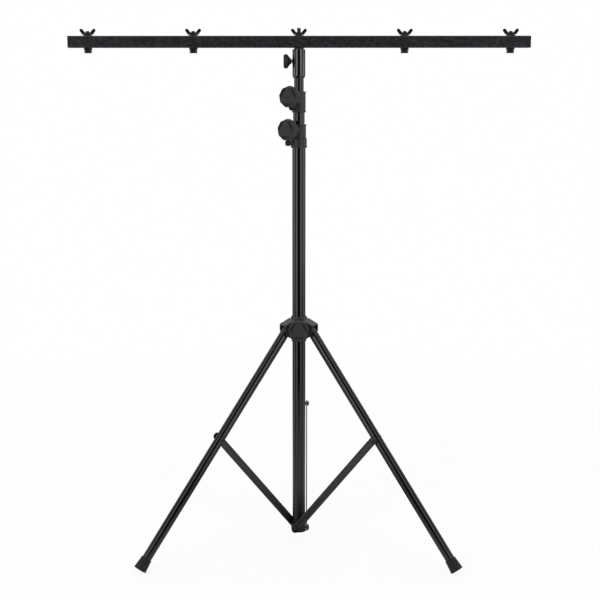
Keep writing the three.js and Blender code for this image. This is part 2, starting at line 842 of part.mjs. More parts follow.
function barSleeve() {
  let sleeve = revolve([
    [sleeveBore, sleeveFoot],
    [sleeveRadius - sleeveFootChamfer, sleeveFoot],
    [sleeveRadius, sleeveFoot + sleeveFootChamferHeight],
    [sleeveRadius, sleeveTop - sleeveTopChamfer],
    [sleeveRadius - sleeveTopChamfer, sleeveTop],
    [sleeveBore, sleeveTop],
  ]);
  const bossEnd = sleeveRadius + sleeveBossHeight;
  const boss = laidOutward(rod(sleeveBossRadius, sleeveBore + sleeveWall / 2, bossEnd, roundSteps));
  sleeve = sleeve.add(atHeight(turnedAboutZ(boss, Math.PI), sleeveKnobHeightOnMast));
  const reach = sleeveRadius + cutOverrun;
  const hole = radialHole(sleeveStudRadius + runningGap, 0, reach, Math.PI, sleeveKnobHeightOnMast);
  return sleeve.subtract(hole);
}

// Plug and neck under the bar, with the centre bolt that stands up through it
function barStud() {
  const plug = sleeveBore - seatGap;
  const tip = barTop + centreBoltAboveBar;
  return revolve([
    [0, sleeveTop - plugDepth],
    [plug, sleeveTop - plugDepth],
    [plug, barBottom - seatGap],
    [boltRadius, barBottom - seatGap],
    [boltRadius, tip - boltTipChamfer],
    [boltRadius - boltTipChamfer, tip],
    [0, tip],
  ]);
}

function sleeveKnob() {
  const bore = sleeveStudRadius + seatGap;
  const capFoot = sleeveKnobHubLength;
  const top = sleeveKnobHubLength + sleeveKnobHeight;
  const edge = sleeveKnobHeight / 4;
  const turned = revolve([
    [0, capFoot + edge],
    [bore, capFoot + edge],
    [bore, 0],
    [sleeveKnobHubRadius, 0],
    [sleeveKnobRadius - edge, capFoot],
    [sleeveKnobRadius, capFoot + edge],
    [sleeveKnobRadius, top - edge],
    [sleeveKnobRadius - edge, top],
    [0, top],
  ], knobSteps);
  const depth = (knobLobeDepth * sleeveKnobRadius) / knobRadius;
  const outline = prism(lobedOutline(sleeveKnobRadius, depth), -cutOverrun, top + cutOverrun);
  return turned.intersect(outline);
}

function sleeveClamp() {
  const set = groupAt(0, 0, sleeveKnobHeightOnMast);
  set.rotation.z = Math.PI;
  const back = sleeveRadius + sleeveBossHeight + sleeveKnobStandOff;
  const from = innerTubeRadius + seatGap;
  const to = back + sleeveKnobHubLength + sleeveKnobHeight / 4 - seatGap;
  set.add(piece('sleeve_knob_stud', laidOutward(stud(sleeveStudRadius, from, to)), darkZinc()));
  set.add(piece('sleeve_knob', shifted(laidOutward(sleeveKnob()), back, 0, 0), blackPlastic()));
  return set;
}

// Square section with round corners, drawn about the origin
function squareOutline(side, corner, path) {
  const half = side / 2;
  const inner = half - corner;
  path.absarc(inner, inner, corner, 0, Math.PI / 2, false);
  path.absarc(-inner, inner, corner, Math.PI / 2, Math.PI, false);
  path.absarc(-inner, -inner, corner, Math.PI, Math.PI * 1.5, false);
  path.absarc(inner, -inner, corner, Math.PI * 1.5, Math.PI * 2, false);
  path.closePath();
  return path;
}

// A section in Y and Z drawn out along X between two places
function drawnAlongBar(shape, from, to) {
  const geometry = new THREE.ExtrudeGeometry(shape, {
    depth: to - from,
    bevelEnabled: false,
    curveSegments: cornerSteps,
  });
  geometry.rotateY(Math.PI / 2);
  geometry.translate(from, 0, 0);
  return solidOf(geometry);
}

const boltPitch = (barLength / 2 - outerBoltFromEnd) / Math.max(...boltPlaceShares);
const boltPlaces = boltPlaceShares.map((share) => share * boltPitch);
const barHalf = barLength / 2 - endCapThickness - seatGap;
const barHollow = barSection - 2 * barWall;
const hollowCorner = Math.max(barCornerRadius - barWall, barWall / 2);

function crossBar() {
  const section = squareOutline(barSection, barCornerRadius, new THREE.Shape());
  section.holes.push(squareOutline(barHollow, hollowCorner, new THREE.Path()));
  let bar = drawnAlongBar(section, -barHalf, barHalf);
  for (const place of boltPlaces) {
    const hole = rod(boltRadius + seatGap, -barSection, barSection);
    bar = bar.subtract(shifted(hole, place, 0, 0));
  }
  return bar;
}

// Cap whose hollow plug sits in the bar's end, built for the +X end
function endCap() {
  const plugSide = barHollow - 2 * seatGap;
  const plugEnd = barHalf - endCapPlugLength;
  const face = squareOutline(barSection, barCornerRadius, new THREE.Shape());
  const plug = squareOutline(plugSide, hollowCorner, new THREE.Shape());
  const hollow = squareOutline(plugSide - 2 * endCapPlugWall, hollowCorner, new THREE.Shape());
  return drawnAlongBar(face, barHalf + seatGap, barLength / 2)
    .add(drawnAlongBar(plug, plugEnd, barHalf + 2 * seatGap))
    .subtract(drawnAlongBar(hollow, plugEnd - cutOverrun, barHalf));
}

// A hexagon measured across its corners, two of which lie along the bar
function hexPrism(across, bottom, top) {
  return turnedAboutZ(rod(across / 2, bottom, top, hexSides), Math.PI / hexSides);
}

// Bolt through the bar, heights counted from the bar's middle
function fixtureBolt() {
  const half = barSection / 2;
  const nutTop = -half - seatGap;
  const nutFoot = nutTop - nutUnderBarHeight;
  const headTop = nutFoot - headNeckHeight;
  const tip = half + boltAboveBar;
  const shank = revolve([
    [0, headTop - headHeight / 2],
    [boltRadius, headTop - headHeight / 2],
    [boltRadius, tip - boltTipChamfer],
    [boltRadius - boltTipChamfer, tip],
    [0, tip],
  ], fastenerSteps);
  return shank
    .add(hexPrism(nutUnderBarAcross, nutFoot, nutTop))
    .add(rod(headNeckRadius, headTop - headHeight / 2, nutFoot + nutUnderBarHeight / 2, fastenerSteps))
    .add(hexPrism(headAcross, headTop - headHeight, headTop));
}

// Wing nut standing on z = 0
function wingNut() {
  const bore = boltRadius + runningGap;
  const hub = revolve([
    [0, 0],
    [nutFlangeRadius, 0],
    [nutFlangeRadius, nutFlangeHeight],
    [nutFootRadius, nutFlangeHeight],
    [nutTopRadius, nutHubHeight],
    [0, nutHubHeight],
  ], fastenerSteps);
  const tipX = wingSpan / 2 - wingWidth / 2;
  const tipZ = wingRise - wingWidth / 2;
  const length = (tipZ - nutHubHeight / 2) / Math.cos(wingTilt);
  const root = tipX - length * Math.sin(wingTilt);
  const half = wingWidth / 2;
  const outline = new THREE.Shape();
  outline.absarc(0, length, half, 0, Math.PI, false);
  outline.lineTo(-half, 0);
  outline.lineTo(half, 0);
  outline.closePath();
  const wing = moved(slab(outline, wingThickness), new THREE.Matrix4().makeRotationY(wingTilt));
  const right = shifted(wing, root, 0, nutHubHeight / 2);
  const left = turnedAboutZ(right, Math.PI);
  return hub.add(right).add(left).subtract(rod(bore, -cutOverrun, wingRise));
}

// Assembly
const stand = new THREE.Group();

const mast = groupAt(0, 0, 0);
mast.add(piece('outer_tube', outerTube(), blackTube()));
mast.add(piece('tripod_hub', tripodHub(), blackPlastic()));
mast.add(collarSet('lower', lowerCollarSize));
stand.add(mast);

const midStage = groupAt(0, 0, 0);
midStage.add(piece('mid_tube', midTube(), blackTube()));
midStage.add(piece('mid_tube_guide', tubeGuide(midTubeBore, outerTubeBore, midTubeBottom), nylon()));
midStage.add(collarSet('upper', upperCollarSize));
stand.add(midStage);

const innerStage = groupAt(0, 0, 0);
innerStage.add(piece('inner_tube', innerTube(), blackTube()));
innerStage.add(piece('inner_tube_guide', tubeGuide(innerTubeBore, midTubeBore, innerTubeBottom), nylon()));
stand.add(innerStage);

const tripod = groupAt(0, 0, 0);
const crownGroup = groupAt(0, 0, legPivotHeight);
crownGroup.add(piece('crown', crown(), greyPlastic()));
crownGroup.add(clampSet('crown', outerTubeRadius, crownBossEnd, -Math.PI / 2, crownKnobAbovePivot));
tripod.add(crownGroup);

for (let index = 0; index < legCount; index += 1) {
  const number = index + 1;
  const side = groupAt(0, 0, 0);
  side.rotation.z = legTurns[index];

  const pivot = groupAt(legPivotRadius, 0, legPivotHeight);
  pivot.add(piece(`leg_pivot_bolt_${number}`, legPivotBolt(), blackSteel()));
  side.add(pivot);

  const leg = groupAt(legPivotRadius, 0, legPivotHeight);
  leg.rotation.y = -legSpread;
  leg.add(piece(`leg_tube_${number}`, legTube(), blackTube()));
  leg.add(piece(`rubber_foot_${number}`, rubberFoot(), blackRubber()));
  const joint = groupAt(0, 0, -upperLegLength);
  joint.add(piece(`strut_bolt_${number}`, strutBolt(), blackSteel()));
  joint.add(piece(`strut_spacer_${number}`, strutSpacer(), blackPlastic()));
  leg.add(joint);
  side.add(leg);

  const hubPivot = groupAt(0, 0, hubPivotHeight);
  hubPivot.add(piece(`hub_pivot_bolt_${number}`, hubPivotBolt(), blackSteel()));
  side.add(hubPivot);

  const brace = groupAt(0, -strutPlane, hubPivotHeight);
  brace.rotation.y = strutTilt;
  brace.add(piece(`strut_${number}`, strut(), blackTube()));
  const strutEnd = groupAt(0, 0, strutLength);
  strutEnd.add(piece(`strut_nut_${number}`, strutNut(), blackSteel()));
  brace.add(strutEnd);
  side.add(brace);

  tripod.add(side);
}
stand.add(tripod);

const head = groupAt(0, 0, 0);
head.add(piece('bar_sleeve', barSleeve(), blackTube()));
head.add(piece('bar_stud', barStud(), blackSteel()));
head.add(sleeveClamp());
const bar = groupAt(0, 0, barMiddle);
bar.add(piece('t_bar', crossBar(), blackBar()));
bar.add(piece('end_cap_right', endCap(), blackPlastic()));
const leftCap = piece('end_cap_left', endCap(), blackPlastic());
leftCap.rotation.z = Math.PI;
bar.add(leftCap);
boltPlaces.forEach((place, index) => {
  const station = groupAt(place, 0, 0);
  if (place !== 0) station.add(piece(`fixture_bolt_${index + 1}`, fixtureBolt(), darkZinc()));
  const nut = piece(`wing_nut_${index + 1}`, wingNut(), blackSteel());
  nut.position.z = barSection / 2 + seatGap;
  station.add(nut);
  bar.add(station);
});
head.add(bar);
stand.add(head);

// The origin lies on the floor under the middle of the stand's box
const box = new THREE.Box3().setFromObject(stand, true);
stand.position.y = -(box.min.y + box.max.y) / 2;

export default stand;
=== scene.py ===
import json
import math

import bmesh
import bpy
from mathutils import Matrix, Vector

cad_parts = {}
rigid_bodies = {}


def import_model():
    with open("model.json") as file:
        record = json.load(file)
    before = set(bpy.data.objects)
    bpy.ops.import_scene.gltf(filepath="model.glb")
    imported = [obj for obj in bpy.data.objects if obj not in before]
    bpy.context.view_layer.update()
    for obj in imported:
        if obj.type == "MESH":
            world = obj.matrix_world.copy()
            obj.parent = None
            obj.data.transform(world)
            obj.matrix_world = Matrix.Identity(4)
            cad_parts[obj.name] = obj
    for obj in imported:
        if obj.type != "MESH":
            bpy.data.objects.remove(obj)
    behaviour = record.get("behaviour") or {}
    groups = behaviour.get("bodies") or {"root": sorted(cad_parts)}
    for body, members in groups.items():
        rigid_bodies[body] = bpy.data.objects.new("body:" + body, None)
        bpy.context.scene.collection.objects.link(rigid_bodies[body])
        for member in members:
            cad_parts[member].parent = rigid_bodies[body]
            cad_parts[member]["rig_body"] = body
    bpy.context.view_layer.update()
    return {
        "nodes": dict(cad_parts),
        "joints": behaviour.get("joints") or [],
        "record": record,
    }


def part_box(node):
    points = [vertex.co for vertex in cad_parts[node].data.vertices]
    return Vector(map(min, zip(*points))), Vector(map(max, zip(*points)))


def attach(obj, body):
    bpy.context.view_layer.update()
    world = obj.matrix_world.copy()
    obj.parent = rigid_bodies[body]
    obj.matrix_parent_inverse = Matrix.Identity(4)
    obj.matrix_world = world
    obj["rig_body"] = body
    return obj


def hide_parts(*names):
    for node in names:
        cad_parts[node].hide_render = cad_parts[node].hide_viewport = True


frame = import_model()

# Lighting T-bar stand: smooth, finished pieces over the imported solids.
# Local meshes are drawn in millimetres with +Z up, and turned into metres when they are placed.
MM = 0.001
DEG = math.pi / 180
scene = bpy.context.scene

# Camera, as fitted to the photograph's 600 by 600 frame
FRAME_PIXELS = 600
CAMERA_DISTANCE = 3.1496
CAMERA_HEIGHT = 1.229
CAMERA_PITCH = 9.97 * DEG
CAMERA_AZIMUTH = 0.4 * DEG
CAMERA_LENS = 71.6
CAMERA_SENSOR = 36.0
MAST_LEFT_OF_CENTRE_PIXELS = 1.1

# Fineness of the meshes
ROUND_STEPS = 96
SMALL_STEPS = 48
HEX_SIDES = 6
ARC_STEPS = 4
SHARP_ANGLE = 32 * DEG
MOULD_VOXEL = 0.55
KNOB_VOXEL = 0.5
CROWN_VOXEL = 0.65
SMALL_VOXEL = 0.36
CROWN_KEPT_SHARE = 0.2
WING_KEPT_SHARE = 0.5
MOULD_SMOOTHING = 3
MOULD_KEPT_SHARE = 0.4
OVERRUN = 5
THREAD_LEVELS = 6
DOME_STEPS = 12
WING_STEPS = 16

# Radii of eased edges, from the finest to the broadest
HAIR_ROUND = 0.2
FINE_ROUND = 0.3
SLIGHT_ROUND = 0.4
EDGE_ROUND = 0.5
EASED_ROUND = 0.6
SOFT_ROUND = 0.8
BROAD_ROUND = 1.0
FULL_ROUND = 1.2
LARGE_ROUND = 2
ARM_CORNER_ROUND = 3

# Fits
SEAT_GAP = 0.3
RUNNING_GAP = 0.3
SLIDE_GAP = 0.5

# Tubes
OUTER_TUBE_WALL = 1.5
MID_TUBE_WALL = 1.5
INNER_TUBE_WALL = 1.2
LEG_WALL = 1.3
TUBE_EDGE_ROUND = 0.45
INDEX_HOLE_RADIUS = 4.2
STAGE_TRAVEL = 800

# Tripod linkage; a domed head is a radius and a height
LEG_SPREAD = 36.5 * DEG
UPPER_LEG_LENGTH = 338
LOWER_LEG_LENGTH = 395
STRUT_LENGTH = 375.2
LEG_RADIUS = 12.5
LEG_END_BEYOND_PIVOT = 7
PIVOT_BOLT_RADIUS = 3
DOME_HEAD = (7.2, 5.4)
HEAD_RIM_HEIGHT = 0.9
STRUT_WIDTH = 20
STRUT_THICKNESS = 3
STRUT_EDGE_ROUND = 0.5
SPACER_RADIUS = 6
HUB_FLAT = 19.2
HUB_HEAD = (9, 5.6)
HUB_BOLT_REACH = 3

# Rubber feet
FOOT_END_RADIUS = 17.2
FOOT_TOP_WALL = 1.5
FOOT_LIP_HEIGHT = 3
FOOT_LENGTH = 33
FOOT_FLOOR = 6
FOOT_RIM_HEIGHT = 3
FOOT_GROOVE = 0.5

# Hub
HUB_CHAMFER = 2
HUB_FLOOR = 2.7

# Crown
CROWN_WALL = 3
CROWN_TOP_ABOVE_PIVOT = 34
CROWN_RING_HEIGHT = 9.5
CROWN_RING_WALL = 3.9
CROWN_RING_CHAMFER = 2.5
CROWN_BELOW_PIVOT = 34
CROWN_FOOT_WALL = 2.2
CHEEK_WALL = 4
ARM_BEYOND_PIVOT = 13.5
ARM_ROOF_THICKNESS = 3.4
ARM_ROOF_INSIDE = 28.5
ARM_ROOF_OUTSIDE = 15.5
ARM_CORNER_DROP = 2.5
ARM_END_BELOW_PIVOT = 3
ARM_TOE_BELOW_PIVOT = 16
ARM_TOE_BEYOND_PIVOT = 8
ARM_BOTTOM_BELOW_PIVOT = 24
LEG_BOLT_HEAD = (5.8, 3.6)

# Clamping knobs
KNOB_RADIUS = 28
KNOB_HEIGHT = 22
KNOB_LOBES = 9
KNOB_LOBE_DEPTH = 1.9
KNOB_HUB_RADIUS = 9
KNOB_BACK_RECESS = 8
KNOB_RIM_WALL = 5
KNOB_SHOULDER = 2
KNOB_FACE_DROP = 3
KNOB_STUD_DEPTH = 14
KNOB_RIB_THICKNESS = 2
KNOB_RIB_OVERLAP = 1
TREFOIL_RADIUS = 19.6
TREFOIL_SWING = 3.6
FINGER_RECESS_RADIUS = 22.6
FINGER_RECESS_DEPTH = 4.5
STUD_RADIUS = 4
STUD_PITCH = 1.25
BOSS_RADIUS = 11.5
BOSS_LIP = 1.2
BOSS_BEYOND_SLEEVE = 15
KNOB_STAND_OFF = 3.5
SHOE_RADIUS = 6
SHOE_THICKNESS = 3.5

# Shares of a thread's pitch
THREAD_DEPTH = 0.3
THREAD_TAPER = 0.6

# Collars
LOWER_SKIRT_WALL = 2.9
LOWER_SKIRT_HEIGHT = 27
LOWER_NECK_WALL = 3.3
LOWER_TOP_FLANGE = 2
LOWER_FOOT_FLANGE = 1.2
FLANGE_HEIGHT = 3.6
SHOULDER_HEIGHT = 4
UPPER_SKIRT_WALL = 2.3
UPPER_SKIRT_HEIGHT = 26
UPPER_FLANGE = 0.7
PIN_STEM_RADIUS = 3.5
PIN_SEAT_RADIUS = 6
LOWER_PIN_SEAT_LENGTH = 5
UPPER_PIN_SEAT_LENGTH = 2.5
PIN_CAP_RADIUS = 8
PIN_CAP_LENGTH = 11
PIN_CAP_ROUND = 2.5
PIN_DIMPLE_RADIUS = 4.6
PIN_DIMPLE_DEPTH = 3

# Bar sleeve and knob
SLEEVE_WALL = 3.9
SLEEVE_FOOT_CHAMFER_HEIGHT = 5.5
SLEEVE_FOOT_CHAMFER = 2.6
SLEEVE_BOSS_RADIUS = 6.5
SLEEVE_BOSS_HEIGHT = 1.1
SLEEVE_KNOB_RADIUS = 18.8
SLEEVE_KNOB_FACE_RADIUS = 15
SLEEVE_KNOB_HEIGHT = 11.5
SLEEVE_KNOB_HUB_LENGTH = 9
SLEEVE_KNOB_HUB_RADIUS = 6.5
SLEEVE_KNOB_HUB_FLARE = 1
SLEEVE_KNOB_STAND_OFF = 1.5
SLEEVE_STUD_RADIUS = 3
SLEEVE_STUD_PITCH = 1.0

# Cross bar, its bolts and nuts
NUT_NUMBERS = (1, 2, 3, 4, 5)
CENTRE_NUT = 3
BAR_WALL = 2
BAR_CORNER_RADIUS = 3
END_CAP_THICKNESS = 3
END_CAP_PLUG_WALL = 2.4
END_CAP_ROUND = 0.8
BOLT_RADIUS = 5
BOLT_PITCH = 1.5
BOLT_ABOVE_BAR = 12.3
THREAD_ABOVE_BAR = 4
THREAD_IN_SHANK_SHARE = 0.3
NUT_UNDER_BAR_ACROSS = 21.4
NUT_UNDER_BAR_HEIGHT = 6.4
HEAD_NECK_RADIUS = 7.6
HEAD_NECK_HEIGHT = 0.9
HEAD_ACROSS = 19.6
HEAD_HEIGHT = 6
HEX_CHAMFER = 0.9
NUT_FLANGE_RADIUS = 11.6
NUT_FLANGE_HEIGHT = 1.6
NUT_FOOT_RADIUS = 9.4
NUT_TOP_RADIUS = 7.8
NUT_HUB_HEIGHT = 8.6
WING_TILT = 38 * DEG
WING_WIDTH = 8.4
WING_THICKNESS = 4.4
WING_SPAN = 41
WING_RISE = 18


# Outlines
def polar(reach, angle):
    return reach * math.cos(angle), reach * math.sin(angle)


def round_outline(steps, reach_at):
    """Points round the axis, each as far out as reach_at gives for its angle."""
    angles = [2 * math.pi * step / steps for step in range(steps)]
    return [polar(reach_at(angle), angle) for angle in angles]


def half_round(radius, height, start=0.0, steps=SMALL_STEPS):
    """A half circle about (0, height), from a start angle on."""
    points = [polar(radius, start + math.pi * step / steps) for step in range(steps + 1)]
    return [(x, height + y) for x, y in points]


def rounded(corners):
    """Corners as (x, y) or (x, y, radius): a corner with a radius becomes an arc."""
    points = []
    for index, corner in enumerate(corners):
        here = Vector(corner[:2])
        if len(corner) == 2:
            points.append(tuple(here))
            continue
        before = (Vector(corners[index - 1][:2]) - here).normalized()
        after = (Vector(corners[(index + 1) % len(corners)][:2]) - here).normalized()
        half = before.angle(after) / 2
        centre = here + (before + after).normalized() * corner[2] / math.sin(half)
        start = here + before * corner[2] / math.tan(half) - centre
        end = here + after * corner[2] / math.tan(half) - centre
        sweep = start.angle_signed(end)
        for step in range(ARC_STEPS + 1):
            turn = Matrix.Rotation(-sweep * step / ARC_STEPS, 2)
            points.append(tuple(centre + turn @ start))
    return points


def square_outline(side, corner):
    half = side / 2
    corners = ((half, half), (-half, half), (-half, -half), (half, -half))
    return rounded([(x, y, corner) for x, y in corners])


def trefoil_outline(radius, swing):
    return round_outline(ROUND_STEPS, lambda angle: radius + swing * math.cos(3 * angle))


def lobed_outline(radius, depth, steps):
    """Shallow flats between narrow ridges, or a circle where the depth is 0."""
    return round_outline(steps, lambda angle: radius - depth * (1 - math.cos(KNOB_LOBES * angle / 2) ** 4))


# Solids: plain meshes in millimetres
def mesh_of(builder):
    bmesh.ops.recalc_face_normals(builder, faces=builder.faces)
    mesh = bpy.data.meshes.new("solid")
    builder.to_mesh(mesh)
    builder.free()
    return mesh


def bridge(builder, lower, upper):
    """Faces between two rings, where a ring can also be a single point."""
    count = max(len(lower), len(upper))
    for step in range(count if count > 1 else 0):
        ahead = (step + 1) % count
        corners = [lower[step % len(lower)], lower[ahead % len(lower)]]
        corners += [upper[ahead % len(upper)], upper[step % len(upper)]]
        builder.faces.new(list(dict.fromkeys(corners)))


def lathe(profile, steps=ROUND_STEPS):
    """Turns a profile about Z; it starts and ends on the axis or closes on itself.

    Its points are (radius, height), or (radius, height, depth) where the flats of a knob cut in.
    """
    builder = bmesh.new()
    rings = []
    for radius, height, *depth in profile:
        outline = lobed_outline(radius, sum(depth), steps) if radius else [(0, 0)]
        rings.append([builder.verts.new((x, y, height)) for x, y in outline])
    if profile[0][0] > 0:
        rings.append(rings[0])
    for lower, upper in zip(rings, rings[1:]):
        bridge(builder, lower, upper)
    return mesh_of(builder)


def rod(radius, bottom, top, steps=SMALL_STEPS):
    return lathe([(0, bottom), (radius, bottom), (radius, top), (0, top)], steps)


def prism(outline, bottom, top):
    """An outline in X and Y drawn from bottom to top along Z."""
    builder = bmesh.new()
    lower, upper = [[builder.verts.new((x, y, height)) for x, y in outline] for height in (bottom, top)]
    builder.faces.new(lower)
    builder.faces.new(upper)
    bridge(builder, lower, upper)
    return mesh_of(builder)


def slab(outline, thickness):
    """An outline in X and Z with its thickness along Y, centred on the XZ plane."""
    return laid_aside(prism(outline, -thickness / 2, thickness / 2))


def moved(mesh, matrix):
    mesh.transform(matrix)
    return mesh


def shifted(mesh, x, y, z):
    return moved(mesh, Matrix.Translation((x, y, z)))


def turned(mesh, angle, axis="Z"):
    return moved(mesh, Matrix.Rotation(angle, 4, axis))


def laid_outward(mesh):
    """Lays a solid built along +Z so that it points along +X."""
    return turned(mesh, 90 * DEG, "Y")


def laid_aside(mesh):
    """Lays a solid built along +Z so that it points along -Y."""
    return turned(mesh, 90 * DEG, "X")


def add_object(name, data):
    item = bpy.data.objects.new(name, data)
    scene.collection.objects.link(item)
    return item


def with_modifiers(mesh, *settings):
    """The mesh after a row of modifiers, each given as (type, values)."""
    holder = add_object("holder", mesh)
    for kind, values in settings:
        modifier = holder.modifiers.new(kind.lower(), kind)
        for key, value in values.items():
            setattr(modifier, key, value)
    graph = bpy.context.evaluated_depsgraph_get()
    result = bpy.data.meshes.new_from_object(holder.evaluated_get(graph))
    bpy.data.objects.remove(holder)
    return result


def combined(mesh, others, operation):
    helpers = [add_object("helper", other) for other in others]
    values = {"operation": operation, "solver": "EXACT"}
    result = with_modifiers(mesh, *[("BOOLEAN", {**values, "object": helper}) for helper in helpers])
    for helper in helpers:
        bpy.data.objects.remove(helper)
    return result


def joined(mesh, *others):
    return combined(mesh, others, "UNION")


def cut(mesh, *others):
    return combined(mesh, others, "DIFFERENCE")


def moulded(mesh, voxel=MOULD_VOXEL, kept_share=MOULD_KEPT_SHARE):
    """Runs every edge and corner into the small fillets of a moulding or casting."""
    return with_modifiers(
        mesh,
        ("REMESH", {"mode": "VOXEL", "voxel_size": voxel, "use_smooth_shade": True}),
        ("SMOOTH", {"factor": 0.5, "iterations": MOULD_SMOOTHING}),
        ("DECIMATE", {"ratio": kept_share}),
    )


def edged(mesh, width, segments=2):
    """Breaks the sharp edges of a pressed or sawn piece."""
    values = {"width": width, "segments": segments, "limit_method": "ANGLE", "angle_limit": SHARP_ANGLE}
    return with_modifiers(mesh, ("BEVEL", values))


def thread(radius, pitch, bottom, top, steps=SMALL_STEPS // 2):
    """A threaded rod along Z, its crests at the given radius and its ends tapered."""
    builder = bmesh.new()
    count = max(2, round((top - bottom) / pitch * THREAD_LEVELS))
    rings = []
    for level in range(count + 1):
        height = bottom + (top - bottom) * level / count
        taper = max(0, pitch * THREAD_TAPER - min(height - bottom, top - height))
        ring = []
        for step in range(steps):
            phase = (height / pitch - step / steps) % 1
            reach = radius - pitch * THREAD_DEPTH * (1 - abs(2 * phase - 1)) - taper
            ring.append(builder.verts.new((*polar(reach, 2 * math.pi * step / steps), height)))
        rings.append(ring)
    for lower, upper in zip(rings, rings[1:]):
        bridge(builder, lower, upper)
    builder.faces.new(rings[0])
    builder.faces.new(rings[-1])
    return mesh_of(builder)


# Shader nodes and node groups
BROAD_GRAIN_SHARE = 0.035
WORN_POINTINESS = (0.53, 0.62)
WORN_SPOTS = (0.45, 0.7)
WORN_SPOT_SCALE = 160.0
DUSTY_SLOPE = (0.35, 1.0)
DRIFT_SCALE = 90.0
WORN_COLOUR = (0.2, 0.2, 0.21, 1)
DUST_COLOUR = (0.32, 0.31, 0.3, 1)


def new_group(name, inputs, outputs):
    """A node group with its sockets; an input is a vector, or a value where it has a start value."""
    group = bpy.data.node_groups.new(name, "ShaderNodeTree")
    for label, start in inputs.items():
        kind = "NodeSocketVector" if start is None else "NodeSocketFloat"
        socket = group.interface.new_socket(label, in_out="INPUT", socket_type=kind)
        if start is not None:
            socket.default_value = start
    for label in outputs:
        group.interface.new_socket(label, in_out="OUTPUT", socket_type="NodeSocketFloat")
    return group, group.nodes.new("NodeGroupInput").outputs, group.nodes.new("NodeGroupOutput").inputs


def feed(tree, socket, source):
    """Links a socket to another one, or sets it to a plain value."""
    if isinstance(source, bpy.types.NodeSocket):
        tree.links.new(source, socket)
    else:
        socket.default_value = source


def give(tree, node, **values):
    """Gives each value to the node's property or input of that name, with _ for a space."""
    for key, value in values.items():
        if hasattr(node, key):
            setattr(node, key, value)
        else:
            feed(tree, node.inputs[key.replace("_", " ")], value)
    return node


def add_node(tree, kind, **values):
    return give(tree, tree.nodes.new(f"ShaderNode{kind}"), **values)


def math_node(tree, operation, first, second):
    node = add_node(tree, "Math", operation=operation)
    feed(tree, node.inputs[0], first)
    feed(tree, node.inputs[1], second)
    return node.outputs[0]


def product(tree, first, *others):
    for other in others:
        first = math_node(tree, "MULTIPLY", first, other)
    return first


def blend(tree, share, first, second, kind="FLOAT"):
    """Goes from the first to the second value, or colour where the kind is RGBA."""
    node = add_node(tree, "Mix", data_type=kind)
    places, result = ((0, 6, 7), 2) if kind == "RGBA" else ((0, 2, 3), 0)
    for place, source in zip(places, (share, first, second)):
        feed(tree, node.inputs[place], source)
    return node.outputs[result]


def ramp_between(tree, value, start, end):
    return add_node(tree, "MapRange", Value=value, From_Min=start, From_Max=end).outputs["Result"]


def noise(tree, scale, detail, roughness):
    place = add_node(tree, "TexCoord").outputs["Object"]
    values = {"Vector": place, "Scale": scale, "Detail": detail, "Roughness": roughness}
    return add_node(tree, "TexNoise", **values).outputs["Fac"]


def grain_group():
    """Fine surface grain at a scale in cells per metre."""
    group, given, out = new_group("fine_grain", {"Scale": 1500.0, "Coarse Share": 0.3}, ("Height", "Tone"))
    fine = noise(group, given["Scale"], 3.0, 0.6)
    broad = noise(group, product(group, given["Scale"], BROAD_GRAIN_SHARE), 4.0, 0.55)
    weighted = product(group, broad, given["Coarse Share"])
    feed(group, out["Height"], math_node(group, "ADD", fine, weighted))
    feed(group, out["Tone"], broad)
    return group


def wear_group():
    """A mask of rubbed outer edges, broken up by noise."""
    group, given, out = new_group("edge_wear", {"Amount": 0.3}, ("Mask",))
    shape = add_node(group, "NewGeometry").outputs
    edge = ramp_between(group, shape["Pointiness"], *WORN_POINTINESS)
    spots = ramp_between(group, noise(group, WORN_SPOT_SCALE, 5.0, 0.65), *WORN_SPOTS)
    feed(group, out["Mask"], product(group, edge, spots, given["Amount"]))
    return group


def dust_group():
    """A mask of the thin dust that settles on what faces up."""
    group, given, out = new_group("settled_dust", {"Amount": 0.1}, ("Mask",))
    normal = add_node(group, "NewGeometry").outputs["Normal"]
    split = add_node(group, "SeparateXYZ", Vector=normal).outputs
    up = ramp_between(group, split["Z"], *DUSTY_SLOPE)
    feed(group, out["Mask"], product(group, up, noise(group, DRIFT_SCALE, 6.0, 0.7), given["Amount"]))
    return group


GRAIN = grain_group()
WEAR = wear_group()
DUST = dust_group()


def new_material(name):
    material = bpy.data.materials.new(name)
    material.use_nodes = True
    return material, material.node_tree, material.node_tree.nodes["Principled BSDF"]


def coating(
    name, colour, second_colour, roughness, spread, grain_scale, grain_depth,
    wear=0.15, dust=0.04, metallic=0.0, coarse_share=0.3, specular=0.5,
):
    """A finish with two close tones, grain in its height and roughness, rubbed edges and a little dust."""
    material, tree, shader = new_material(name)
    values = {"node_tree": GRAIN, "Scale": grain_scale, "Coarse Share": coarse_share}
    grain = add_node(tree, "Group", **values).outputs
    rubbed = add_node(tree, "Group", node_tree=WEAR, Amount=wear).outputs["Mask"]
    settled = add_node(tree, "Group", node_tree=DUST, Amount=dust).outputs["Mask"]
    tone = blend(tree, grain["Tone"], (*colour, 1), (*second_colour, 1), "RGBA")
    worn = blend(tree, rubbed, tone, WORN_COLOUR, "RGBA")
    uneven = product(tree, grain["Tone"], 2 * spread)
    rough = math_node(tree, "ADD", uneven, roughness - spread)
    bump = add_node(tree, "Bump", Strength=1.0, Distance=grain_depth * MM, Height=grain["Height"])
    dusty = blend(tree, settled, worn, DUST_COLOUR, "RGBA")
    give(tree, shader, Base_Color=dusty, Roughness=math_node(tree, "ADD", rough, settled))
    give(tree, shader, Metallic=metallic, Specular_IOR_Level=specular, Normal=bump.outputs["Normal"])
    return material


